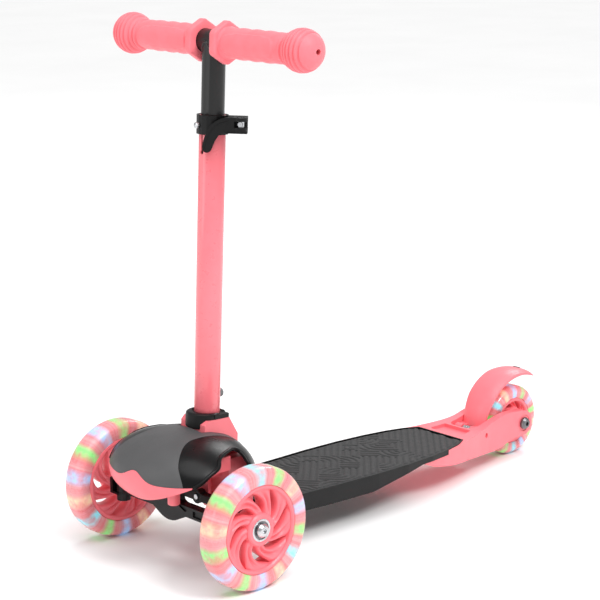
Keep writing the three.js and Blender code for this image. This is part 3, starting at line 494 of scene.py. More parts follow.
def lit_tyre(name, base, lights):
    """Clear cast tyre, streaked from the hub outward, with flecks of painted highlight, that glows softly at
    each light in it.
    """
    finish = Finish(name)
    finish.set(IOR=1.46, Coat_Weight=0.3, Coat_Roughness=0.08, Subsurface_Weight=0.35, Subsurface_Scale=0.004)
    finish.set(Subsurface_Radius=(1.0, 0.6, 0.5))
    split = finish.nodes.new("ShaderNodeSeparateXYZ")
    finish.links.new(finish.place, split.inputs["Vector"])
    flat = finish.nodes.new("ShaderNodeCombineXYZ")
    for axis in ("Y", "Z"):
        finish.links.new(split.outputs[axis], flat.inputs[axis])
    outward = finish.nodes.new("ShaderNodeVectorMath")
    outward.operation = "NORMALIZE"
    finish.links.new(flat.outputs["Vector"], outward.inputs[0])
    streaks = finish.noise(9, 5, 0.6, outward.outputs["Vector"])
    # Noise for the flecks of painted highlight on the tyre.
    painted_glints = finish.noise(26, 3, 0.5, outward.outputs["Vector"])

    angle = finish.math("ARCTAN2", split.outputs["Z"], split.outputs["Y"])
    around = finish.spread(angle, 0.0, 1.0, -math.pi, math.pi)
    light = light_colours(finish, around, lights)
    swing = finish.math("COSINE", finish.math("MULTIPLY_ADD", around, TURN * len(lights), math.pi))
    near = finish.spread(swing, 0.0, 1.0, -0.55, 0.75)
    cloudy = finish.spread(finish.noise(85, 3, 0.5), 0.35, 1.0, 0.36, 0.6)
    glow = finish.math("MULTIPLY", near, cloudy)

    pale = tuple(0.62 * channel + 0.26 for channel in base)
    body = finish.mix(finish.spread(streaks, 0.0, 1.0, 0.38, 0.62), shade(base, 0.88), pale)
    # Near-white flecks of painted highlight over the tyre's colour.
    body = finish.mix(finish.spread(painted_glints, 0.0, 0.32, 0.6, 0.74), body, (0.95, 0.8, 0.8))
    finish.to("Base Color", finish.mix(finish.math("MULTIPLY", glow, 0.85), body, light))
    finish.to("Emission Color", light)
    finish.to("Emission Strength", finish.math("MULTIPLY", glow, 0.3))
    finish.uneven(140, 5, 0.55, 0.2, 0.38)
    finish.bump(finish.noise(500, 3), 0.00003)
    return finish.material


# Display colours of the lights round a tyre, in the order in which they stand.
GREEN, BLUE, CYAN, PEACH = (120, 225, 125), (160, 205, 245), (120, 225, 240), (240, 205, 170)
LIGHT_ORDER = (GREEN, BLUE, GREEN, BLUE, PEACH, CYAN, GREEN, BLUE, PEACH, GREEN, CYAN, BLUE, GREEN, PEACH)


def light_ring(shift):
    """The order of the lights moved on by a shift."""
    return LIGHT_ORDER[shift:] + LIGHT_ORDER[:shift]


def build_finishes(colours):
    """Every finish of the scooter, by the record's slot or by the piece it belongs to."""
    return {
        "coral_plastic": moulded("coral_plastic", colours.coral, 0.42, coat=0.12),
        "coral_paint": painted("coral_paint", colours.paint, 0.3),
        "hood_plastic": moulded("hood_plastic", colours.hood, 0.5, grain=0.00005, grain_scale=1900),
        "side_plastic": moulded("side_plastic", colours.side, 0.3, grain=0.000006, wear=0.08, specular=0.22),
        "black_plastic": moulded("black_plastic", colours.black, 0.42, grain=0.00004, specular=0.3),
        "mat_rubber": rubbery("mat_rubber", colours.mat, 0.7),
        "black_steel": painted("black_steel", colours.black, 0.34, coat=0.15),
        "grip_rubber": rubbery("grip_rubber", colours.grip, 0.55),
        "tyre_left": lit_tyre("tyre_left", colours.tyre, light_ring(0)),
        "tyre_right": lit_tyre("tyre_right", colours.tyre, light_ring(4)),
        "tyre_rear": lit_tyre("tyre_rear", colours.tyre, light_ring(7)),
        "grey_plastic": moulded("grey_plastic", (0.16, 0.165, 0.17), 0.45),
        "bright_steel": plated("bright_steel", (0.62, 0.63, 0.65), 0.26),
        "dark_steel": plated("dark_steel", (0.2, 0.2, 0.21), 0.34),
        "insert": moulded("insert", (0.05, 0.05, 0.052), 0.5),
    }


# Filled once the sizes and colours are registered.
FINISH = {}


# ---------------------------------------------------------------- stage
# Place in metres, width in metres and power in watts of each lamp.
LAMPS = {
    "key": ((1.9, -0.1, 2.3), 0.9, 36),
    "fill": ((-0.9, -2.2, 1.0), 1.2, 7),
    "rim": ((-0.8, 1.9, 1.7), 1.0, 16),
}
FLOOR_HALF = 14.0
CAMERA = {"azimuth": 46.781, "elevation": 13.56, "roll": -0.406, "lens": 113.18}
CAMERA_PLACE = (1.33752, -1.32821, 0.67523)


class SCOOTER_OT_stage(bpy.types.Operator):
    """Sets up the floor, the soft lights and the camera"""

    bl_idname = "scooter.stage"
    bl_label = "Stage"

    def execute(self, context):
        scene = context.scene
        world = bpy.data.worlds.new("studio")
        scene.world = world
        world.use_nodes = True
        world.node_tree.nodes["Background"].inputs["Color"].default_value = (1.0, 1.0, 1.0, 1.0)
        world.node_tree.nodes["Background"].inputs["Strength"].default_value = 0.52
        self.floor(scene)
        middle = (Vector(CAD_BOX[0]) + Vector(CAD_BOX[1])) / 2
        for name, (place, width, power) in LAMPS.items():
            self.lamp(scene, name, Vector(place), middle, width, power)
        self.skylight(scene)
        self.camera(scene)
        scene.view_settings.view_transform = "Standard"
        return {"FINISHED"}

    def floor(self, scene):
        """Pale floor with a sweep of noise so faint that it only breaks the flatness."""
        corners = [(x * FLOOR_HALF, y * FLOOR_HALF, 0) for x, y in ((-1, -1), (1, -1), (1, 1), (-1, 1))]
        mesh = bpy.data.meshes.new("floor")
        mesh.from_pydata(corners, [], [(0, 1, 2, 3)])
        obj = bpy.data.objects.new("floor", mesh)
        obj.location = (0, 0, -0.0003)
        scene.collection.objects.link(obj)
        finish = Finish("floor_paper")
        finish.set(Specular_IOR_Level=0.1)
        drift = finish.spread(finish.noise(3), 0.0, 1.0)
        finish.to("Base Color", finish.mix(drift, (0.93, 0.93, 0.93), (0.96, 0.96, 0.96)))
        finish.uneven(20, 4.0, 0.55, 0.8, 0.95)
        mesh.materials.append(finish.material)

    def skylight(self, scene):
        """Broad overhead light that keeps the floor evenly pale."""
        data = bpy.data.lights.new("overhead", "SUN")
        data.energy = 1.62
        data.angle = math.radians(50)
        obj = bpy.data.objects.new("overhead", data)
        obj.rotation_euler = (math.radians(12), math.radians(14), 0)
        scene.collection.objects.link(obj)

    def lamp(self, scene, name, place, target, width, power):
        """Round soft lamp that faces the scooter's middle."""
        data = bpy.data.lights.new(name, "AREA")
        data.shape = "DISK"
        data.size = width
        data.energy = power
        obj = bpy.data.objects.new(name, data)
        obj.location = place
        obj.rotation_euler = (target - place).to_track_quat("-Z", "Y").to_euler()
        scene.collection.objects.link(obj)

    def camera(self, scene):
        """Camera that looks down a little on the scooter's left front corner."""
        azimuth, elevation, roll = (math.radians(CAMERA[key]) for key in ("azimuth", "elevation", "roll"))
        flat = math.cos(elevation)
        back = Vector((math.sin(azimuth) * flat, -math.cos(azimuth) * flat, math.sin(elevation)))
        level = Vector((math.cos(azimuth), math.sin(azimuth), 0))
        rise = back.cross(level)
        right = level * math.cos(roll) + rise * math.sin(roll)
        up = rise * math.cos(roll) - level * math.sin(roll)
        data = bpy.data.cameras.new("camera")
        data.lens = CAMERA["lens"]
        data.sensor_width = 36
        data.clip_end = 50
        obj = bpy.data.objects.new("camera", data)
        turn = Matrix((right, up, back)).transposed().to_4x4()
        obj.matrix_world = Matrix.Translation(CAMERA_PLACE) @ turn
        scene.collection.objects.link(obj)
        scene.camera = obj


# ---------------------------------------------------------------- wheels
BEARING = {"bore": 4, "shield_inner": 5.9, "shield_outer": 8.9, "outer": 11, "race": 5}
SEAT = BEARING["outer"] + 0.05  # Radius of a bearing's seat in the hub.


def swirled_core(hub, rim, half, spokes, side):
    """Wheel core: a rim band, a hub boss with a seat for each bearing, and broad swirled spokes."""
    lip = rim - 4.4
    band = [(lip, half - 1.2), (lip + 1.2, half), (rim - 0.8, half), (rim, half - 1.0)]
    boss = [(SEAT, half + 0.2), (11.6, half + 0.6), (hub - 1.4, half + 0.6), (hub, half - 1.0)]
    pieces = [both_faces(band, 96), both_faces(boss, 72)]
    for k in range(spokes):
        pieces.append(spoke(k / spokes, hub - 1.2, lip + 0.8, half - 1.6, spokes, side))
    return pieces


def both_faces(profile, segments):
    """Ring about X, from the section of one face out to its rim, with the other face alike."""
    return lathe([(r, -h) for r, h in profile] + profile[::-1], "x", segments)


def spoke(part, inner, outer, half, spokes, side):
    """One swirled spoke, lens-shaped across its width, with a groove down each face."""
    steps = 14
    grid_front, grid_back = [], []
    half_turn = math.pi / spokes
    for i in range(steps + 1):
        t = i / steps
        r = inner + (outer - inner) * t
        sweep = side * 0.78 * (t**1.2)
        width = half_turn * (0.90 - 0.36 * math.sin(math.pi * min(t * 1.08, 1.0)) ** 0.8 + 0.02 * t)
        row_front, row_back = [], []
        across = 12
        for j in range(across + 1):
            s = 2 * j / across - 1
            angle = TURN * part + sweep + s * width
            crown = half * (1 - 0.30 * abs(s) ** 4)
            groove = 3.2 * math.exp(-((s / 0.30) ** 2)) * min(1.0, 4 * t, 3.2 * (1 - t))
            height = crown - groove - 1.4 * math.sin(math.pi * t)
            row_front.append((height, r * math.cos(angle), r * math.sin(angle)))
            row_back.append((-height, r * math.cos(angle), r * math.sin(angle)))
        grid_front.append(row_front)
        grid_back.append(row_back)
    return sheet(grid_front, grid_back)


def race(inner, outer, x, side, segments):
    """One race of a bearing, with softened corners on the face that shows."""
    back, face, chamfer = x - side * BEARING["race"], x - side * 0.2, 0.35
    section = [(inner, back), (outer, back), (outer, face)]
    section += [(outer - chamfer, x), (inner + chamfer, x), (inner, face)]
    return lathe(section, "x", segments)


def shoulder(radius, half, steps=7):
    """Points of a tyre's shoulder, from its side face up to the middle of the tread."""
    reach = half - 4.0
    out = []
    for k in range(steps + 1):
        angle = math.pi / 2 * k / steps
        out.append((radius - reach * (1 - math.sin(angle)) * 0.86, half - reach * (1 - math.cos(angle))))
    return out


def tread(radius, rim, half):
    """Section of a tyre: a flat tread with full shoulders and an inner lip proud of the core's face."""
    right = [(rim, half - 1.2), (rim + 1.4, half - 0.3), *shoulder(radius, half)]
    return right + [(r, -h) for r, h in reversed(right)]


class SCOOTER_OT_wheels(bpy.types.Operator):
    """Builds the three lit wheels with their cores, bearings and axle bolts"""

    bl_idname = "scooter.wheels"
    bl_label = "Wheels"

    def execute(self, context):
        sizes = context.scene.scooter_wheels
        for name, x, y, z, radius, rim, hub, spokes, side in (
            ("left", TRACK_HALF, 0, FRONT_Z, sizes.front_radius, sizes.front_rim, 16, 8, 1),
            ("right", -TRACK_HALF, 0, FRONT_Z, sizes.front_radius, sizes.front_rim, 16, 8, -1),
            ("rear", 0, REAR_Y, REAR_Z, sizes.rear_radius, sizes.rear_rim, 14.5, 6, 1),
        ):
            self.wheel(name, (x, y, z), radius / MM, rim / MM, sizes.width / MM, hub, spokes, side)
        for name, side in SIDES:
            self.axle(name, side)
        return {"FINISHED"}

    def wheel(self, name, centre, radius, rim, width, hub, spokes, side):
        """One wheel: its core, its lit tyre and a bearing in each face."""
        body = f"wheel_{name}"
        half = width / 2
        shift = Matrix.Translation(centre)

        def add(tag, shape, slot, **options):
            make(f"{body}_{tag}", moved(shape, shift), body, slot, origin=centre, **options)

        rim_band, boss, *swirls = swirled_core(hub, rim, half - 1.0, spokes, side)
        add("rim", rim_band, "coral_plastic", angle=40, replaces=(f"{body}_core",))
        add("boss", boss, "coral_plastic", angle=40)
        for k, swirl in enumerate(swirls):
            add(f"spoke_{k + 1}", swirl, "coral_plastic", bevel=0.5, angle=40)
        tyre = lathe(tread(radius, rim, half), "x", 128)
        add("tyre_lit", tyre, "tyre_urethane", finish=f"tyre_{name}", angle=50, replaces=(f"{body}_tyre",))
        bore, shield_inner, shield_outer, outer, _ = BEARING.values()
        for end in (-1, 1):
            tag = "outer" if end == side else "inner"
            x, deep, face = end * (half - 1.0 + 0.45), end * (half - 3), end * (half - 1.4)
            add(f"race_{tag}", race(shield_outer, outer, x, end, 56), "bright_steel",
                replaces=(f"{body}_bearing_{tag}",))
            add(f"race_{tag}_bore", race(bore, shield_inner, x, end, 40), "bright_steel")
            shield = [(shield_inner, deep), (shield_outer, deep), (shield_outer, face), (shield_inner, face)]
            add(f"shield_{tag}", lathe(shield, "x", 48), "bright_steel", finish="dark_steel")

    def axle(self, name, side):
        """Domed bolt head with a hexagon socket."""
        low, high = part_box(f"axle_bolt_{name}")
        near = (high.x if side > 0 else -low.x) / MM - 5
        dome = [(2.0, 0), (6.8, 0), (6.8, 1.6), (6.2, 3.2), (5.0, 4.4), (3.4, 5.0), (2.0, 5.0)]
        head = lathe([(r, side * (near + h)) for r, h in dome], "x", 40, (0, 0, FRONT_Z))
        socket = rod(2.6, side * (near - 1), side * (near + 1.2), "x", 6, (0, 0, FRONT_Z))
        make(f"axle_head_{name}", merged(head, socket), f"knuckle_{name}", "bright_steel",
             origin=(side * TRACK_HALF, 0, FRONT_Z), angle=30)
        dress(f"axle_bolt_{name}", "bright_steel")


# ---------------------------------------------------------------- nose
# The nose is a rounded box: how far it reaches from its middle each way, and how square its section is.
NOSE = {"middle": -4, "front": 57, "rear": 69, "half": 79, "belly": 91, "above": 41, "below": 30}
NOSE["power"] = 2.1
HOOD_PLAN = (
    (56.5, -45.5), (50, -44), (44, -41), (38, -34), (32, -25), (28, -15), (27, -4), (27, 30), (27, 70),
)
CHIN = {"seam": 95, "crest": 9.3, "spread": 15, "edge": 76, "rise": 18, "half": 58}
PANEL_EDGE = (
    (-60, 90), (-44, 94), (-34, 99), (-23, 106.5), (-12, 111), (-6, 116),
    (2, 118.6), (17, 119.5), (25, 117), (29, 110), (31, 82),
)
PANEL_INSET = 0.35


def nose_skin(x_part, turn, inset=0.0):
    """Point of the nose's rounded skin: x_part runs from -1 to 1 across it, turn goes round it."""
    power = NOSE["power"]
    half = NOSE["half"] - inset
    x = half * x_part
    scale = max(1 - abs(x_part) ** power, 0.0) ** (1 / power)
    c, s = math.cos(turn), math.sin(turn)
    reach = (NOSE["rear"] if c > 0 else NOSE["front"]) - inset
    height = (NOSE["above"] if s > 0 else NOSE["below"]) - inset
    shape = (abs(c) ** power + abs(s) ** power) ** (-1 / power)
    return (x, NOSE["middle"] + reach * scale * shape * c, NOSE["belly"] + height * scale * shape * s)


def nose_shell(inset, wall, rows=72, cols=120):
    """Outer and inner skin of the nose, each a closed shape, with the wall between them."""
    skins = []
    for depth in (inset, inset + wall):
        parts = [-math.cos(math.pi * i / rows) * 0.9995 for i in range(rows + 1)]
        skins.append(loft([[nose_skin(part, TURN * j / cols, depth) for j in range(cols)] for part in parts]))
    return skins


def chin_seam(x):
    """Height of the wavy seam between the hood and the chin."""
    return CHIN["seam"] + CHIN["crest"] * math.exp(-((x / CHIN["spread"]) ** 2)) + 2 * (x / CHIN["half"]) ** 2


def chin_edge(x):
    """Height of the chin's lower edge."""
    return CHIN["edge"] + CHIN["rise"] * (abs(x) / CHIN["half"]) ** 1.6


def curtain(low, high, front, back, half=90, steps=72):
    """Slab between two curves of height over x, from front to back."""
    xs = [-half + 2 * half * i / steps for i in range(steps + 1)]
    outline = [(x, low(x)) for x in xs] + [(x, high(x)) for x in reversed(xs)]
    return slab(outline, front, back, "y")


class SCOOTER_OT_nose(bpy.types.Operator):
    """Builds the nose: its grey hood, the gloss side panels and the coral chin"""

    bl_idname = "scooter.nose"
    bl_label = "Nose"

    def execute(self, context):
        plan = spline(HOOD_PLAN, 5)
        half_plan = [(0, -90), (90, -90), (90, -46)] + plan
        hood_plan = half_plan + [(-x, y) for x, y in reversed(half_plan) if x > 0]
        self.hood(hood_plan)
        for name, side in SIDES:
            self.side_panel(name, side, plan)
        self.chin()
        dress("nose_chassis", "coral_plastic", bevel=0.8)
        return {"FINISHED"}

    def shell(self, name, inset, wall):
        """Object that holds the whole nose as a thin skin."""
        outer, inner = nose_shell(inset, wall)
        body = raw_object(name, outer)
        carve(body, inner)
        return body

    def hood(self, plan):
        """Matte hood: everything of the skin inside the plan, above the wavy front seam."""
        body = self.shell("nose_hood_skin", 0.0, 2.4)
        inside = slab(plan, 60, 140, "z")
        carve(body, inside, operation="INTERSECT")
        carve(body, curtain(lambda x: 20, lambda x: chin_seam(x) + 0.35, -99, -20))
        carve(body, block((-95, -20.2, 20), (95, 99, 98)))
        collar_room = on_column(rod(19.5, 90, 160, "z", 64, (0, -1.5, 0)))
        carve(body, collar_room, block((-18.2, 10, 90), (18.2, 90, 140)))
        finish_piece(body, "frame", "hood_plastic", bevel=1.1, segments=3, angle=38,
                     replaces=("nose_hood",))

    def side_panel(self, name, side, plan):
        """Gloss panel outside the hood's seam, open at the arch over the wheel's arm."""
        body = self.shell(f"nose_panel_{name}", PANEL_INSET, 2.2)
        outline = [(90, -46.4)] + [(x + 0.35, y) for x, y in plan] + [(27.35, 99), (120, 99), (120, -46.4)]
        outline = [(side * x, y) for x, y in outline]
        if side < 0:
            outline.reverse()
        carve(body, slab(outline, 40, 140, "z"), operation="INTERSECT")
        edge = spline(PANEL_EDGE, 5)
        under = [(y, z) for y, z in edge] + [(31, 20), (-99, 20), (-99, 90)]
        span = sorted((side * 20, side * 99))
        carve(body, slab(under, *span, "x"), block((-95, 30.8, 20), (95, 99, 84)))
        finish_piece(body, "frame", "side_plastic", bevel=1.0, segments=3, angle=38,
                     replaces=(f"nose_side_{name}",))
        self.arch_rim(name, side, edge)

    def arch_rim(self, name, side, edge):
        """Rounded bead that runs along the arch of a side panel."""
        power = NOSE["power"]
        path = []
        for y, z in edge:
            if z < 96 or y < -42:
                continue
            drop = (z - NOSE["belly"]) / (NOSE["above"] - PANEL_INSET)
            reach = (NOSE["rear"] if y > NOSE["middle"] else NOSE["front"]) - PANEL_INSET
            part = 1 - abs((y - NOSE["middle"]) / reach) ** power - abs(drop) ** power
            if part > 0.02:
                x = (NOSE["half"] - PANEL_INSET) * part ** (1 / power)
                path.append((side * (x - 1.6), y, z + 0.5))
        if len(path) < 4:
            raise RuntimeError(f"the arch of the {name} panel has no edge")
        make(f"nose_arch_{name}", tube(path, 2.1, 10), "frame", "side_plastic", angle=60)

    def chin(self):
        """Coral chin under the wavy seam, with its lower edge drawn up to the sides."""
        body = self.shell("nose_chin_skin", 0.0, 2.4)
        keep = curtain(chin_edge, chin_seam, -99, -36, half=62)
        carve(body, keep, operation="INTERSECT")
        finish_piece(body, "frame", "coral_plastic", bevel=1.0, segments=3, angle=38,
                     replaces=("nose_chin",))
        for name, side in SIDES:
            section = [(0.01, 74.6), (5.2, 74.6), (5.9, 75.3), (6.1, 87), (0.01, 87)]
            boss = lathe(section, "z", 40, (side * 34, -39, 0))
            make(f"nose_chin_boss_{name}", boss, "frame", "coral_plastic", angle=40)


def tube(path, radius, sides):
    """Round tube along a path, with rounded-off ends."""
    path = [Vector(p) for p in path]
    loops = []
    start = (path[1] - path[0]).normalized()
    end = (path[-1] - path[-2]).normalized()
    normal = start.orthogonal().normalized()
    for i, point in enumerate(path):
        ahead = (path[min(i + 1, len(path) - 1)] - path[max(i - 1, 0)]).normalized()
        normal = (normal - ahead * normal.dot(ahead)).normalized()
        cross = ahead.cross(normal)
        turns = [TURN * k / sides for k in range(sides)]
        loops.append([point + (normal * math.cos(a) + cross * math.sin(a)) * radius for a in turns])
    loops.insert(0, [path[0] + (p - path[0]) * 0.6 - start * radius * 0.35 for p in loops[0]])
    loops.append([path[-1] + (p - path[-1]) * 0.6 + end * radius * 0.35 for p in loops[-1]])
    return loft(loops)


# ---------------------------------------------------------------- truck
class SCOOTER_OT_truck(bpy.types.Operator):
    """Finishes the steering truck: beam, knuckles, tie rod and their bolts"""

    bl_idname = "scooter.truck"
    bl_label = "Steering Truck"

    def execute(self, context):
        self.beam()
        dress("tie_rod", "black_plastic", bevel=1.4, segments=3)
        dress("lean_pivot_bolt", "dark_steel", bevel=0.5)
        dress("steering_drive_pin", "bright_steel", bevel=0.3)
        for name, _ in SIDES:
            dress(f"knuckle_{name}", "black_plastic", bevel=0.9, segments=3)
            dress(f"kingpin_{name}", "bright_steel", bevel=0.4)
            dress(f"tie_rod_pin_{name}", "dark_steel", bevel=0.3)
            dress(f"axle_spacer_{name}", "bright_steel", bevel=0.3)
        return {"FINISHED"}

    def beam(self):
        """Axle beam: a bar with a shallow belly, a barrel for each kingpin and a neck to the lean pivot."""
        low, high, neck = 54.2, 65.0, 8.9
        half_belly = [(9, 46.6), (17, 50.5), (24, 54.3)]
        belly = spline([(-x, z) for x, z in reversed(half_belly)] + [(0, 45.2)] + half_belly, 5)
        outline = [(-KINGPIN_X, low), *belly, (KINGPIN_X, low), (KINGPIN_X, high), (-KINGPIN_X, high)]
        body = raw_object("axle_beam_cast", slab(outline, -18, -8, "y"))
        ends = [(side * KINGPIN_X, PIVOT_Y, 0) for _, side in SIDES]
        barrels = [rod(6.9, low, high, "z", 48, end) for end in ends]
        pivot = (0, PIVOT_Y, PIVOT_Z)
        head = rod(neck, -6.8, 6.8, "y", 48, pivot)
        half_web = [(26, 60), (12, 66), (neck, 74), (neck, PIVOT_Z)]
        web = half_web + [(-x, z) for x, z in reversed(half_web)]
        carve(body, *barrels, head, slab(web, -19.6, -6.4, "y"), operation="UNION")
        bores = [rod(3.7, 40, 80, "z", 32, end) for end in ends]
        pockets = [block((x, -18.6, 56.6), (x + 13, -16.4, 62.6)) for x in (-66, -49, 36, 53)]
        carve(body, *bores, rod(4.3, -30, 30, "y", 32, pivot), *pockets)
        finish_piece(body, "axle_beam", "black_plastic", bevel=0.9, segments=3, angle=34,
                     replaces=("axle_beam",))


# ---------------------------------------------------------------- column, collar and clamp
class SCOOTER_OT_column(bpy.types.Operator):
    """Builds the painted column, its foot collar and the spring button"""

    bl_idname = "scooter.column"
    bl_label = "Column"

    def execute(self, context):
        sizes = context.scene.scooter_column
        outer, foot, top, slot = sizes.outer / MM, COLUMN["foot"], COLUMN["top"], COLUMN["slot"]
        inner = outer - 1.3
        section = [(inner, foot), (outer - 0.3, foot), (outer, foot + 0.4)]
        section += [(outer, top - 0.6), (outer - 0.5, top), (inner, top)]
        body = raw_object("column_painted", on_column(lathe(section, "z", 96)))
        split = block((-0.9, -20, slot), (0.9, 0, 440))
        split_end = rod(2.0, -20, 0, "y", 32, (0, 0, slot))
        button_hole = rod(5.3, 0, 20, "y", 40, (0, 0, COLUMN["button"]))
        carve(body, on_column(split), on_column(split_end), on_column(button_hole))
        finish_piece(body, "frame", "coral_paint", bevel=0.25, angle=40,
                     replaces=("column_tube",))
        self.collar()
        self.button()
        dress("column_spigot", "dark_steel")
        dress("socket_bolt", "bright_steel", bevel=0.3)
        return {"FINISHED"}

    def collar(self):
        """Foot collar: a round lobe in front with a softened top edge, and a strap down the holder's back."""
        lobe = [(0.01, 130), (16.2, 130), (17, 130.8)]
        lobe += [(17, 142), (16.5, 143.8), (15.3, 144.8), (13.8, 145), (0.01, 145)]
        strap = [(11, 144.4), (14.5, 144.4), (28.4, 122), (28.4, 118), (23, 118), (11, 137)]
        body = raw_object("stem_collar_soft", on_column(lathe(lobe, "z", 96, (0, -4.8, 0))))
        bridge = block((-17.6, -4.8, 139.4), (17.6, 13, 143.4))
        carve(body, on_column(bridge), on_column(slab(strap, -9, 9, "x")), operation="UNION")
        holder = [(-17.8, 81), (22.3, 81), (25.3, 101), (25.3, 121.15)]
        holder += [(13.8, 139.3), (-13.65, 139.3), (-17.8, 135.15)]
        dish = lathe([(0.01, 143.4), (14.2, 143.4), (15.4, 147), (0.01, 147)], "z", 96)
        for room in (rod(13, 100, 200, "z", 96), slab(holder, -17.9, 17.9, "x"), dish):
            carve(body, on_column(room))
        finish_piece(body, "frame", "black_plastic", bevel=0.9, segments=3, angle=34,
                     replaces=("stem_collar",))

    def button(self):
        """Domed spring button that locks the column on its spigot."""
        section = [(0.01, 11), (4.7, 11), (4.7, 15.4), (4.2, 17.2), (3.0, 18.3), (1.4, 18.65), (0.01, 18.7)]
        dome = lathe(section, "y", 40, (0, 0, COLUMN["button"]))
        make("column_button_dome", on_column(dome), "button", "grey_plastic", angle=50,
             replaces=("column_button",))


class SCOOTER_OT_clamp(bpy.types.Operator):
    """Builds the height clamp: its split ring, cam lever, barrel pin and screws"""

    bl_idname = "scooter.clamp"
    bl_label = "Height Clamp"

    def execute(self, context):
        dress("clamp_ring", "black_plastic", bevel=0.7, segments=3)
        self.lever()
        dress("clamp_bolt", "bright_steel", bevel=0.4)
        dress("clamp_barrel", "bright_steel", bevel=0.3)
        dress("clamp_screw", "bright_steel", bevel=0.5)
        return {"FINISHED"}

    def lever(self):
        """Cam lever: a forked head round its barrel, and an arm that sweeps down in front of the ring."""
        barrel = (27, -14, 0)
        low, high = 417.6, 430.4
        sweep = [
            (27, high), (14, 430.2), (4, 426.5), (-2.5, 419.5), (-6.5, 410), (-8, 402.5), (-7, 398.4),
            (-3.6, 397.1), (-0.2, 398.6), (1.6, 402.2), (3.6, 407.6), (7.0, 412.9), (11.5, 416.4),
            (17, low), (27, low),
        ]
        body = raw_object("clamp_lever_swept", on_clamp(slab(spline(sweep, 4), -19.7, -15.7, "y")))
        carve(body, on_clamp(rod(7.1, low, high, "z", 48, barrel)), operation="UNION")
        rib = spline(sweep[1:6], 6)
        crease = [(x + 1.6, z - 2.2) for x, z in rib] + [(x + 2.5, z - 2.9) for x, z in reversed(rib)]
        slot = rod(8, 421.1, 426.9, "z", 48, barrel)
        for room in (slot, rod(3.9, 400, 440, "z", 32, barrel), slab(crease, -20.5, -19.1, "y")):
            carve(body, on_clamp(room))
        finish_piece(body, "lever", "black_plastic", bevel=0.8, segments=3, angle=34,
                     replaces=("clamp_lever",))


def on_clamp(shape):
    """A shape drawn with x along the clamp's ears, set on the column."""
    return on_column(moved(shape, Matrix.Rotation(math.radians(45), 4, "Z")))


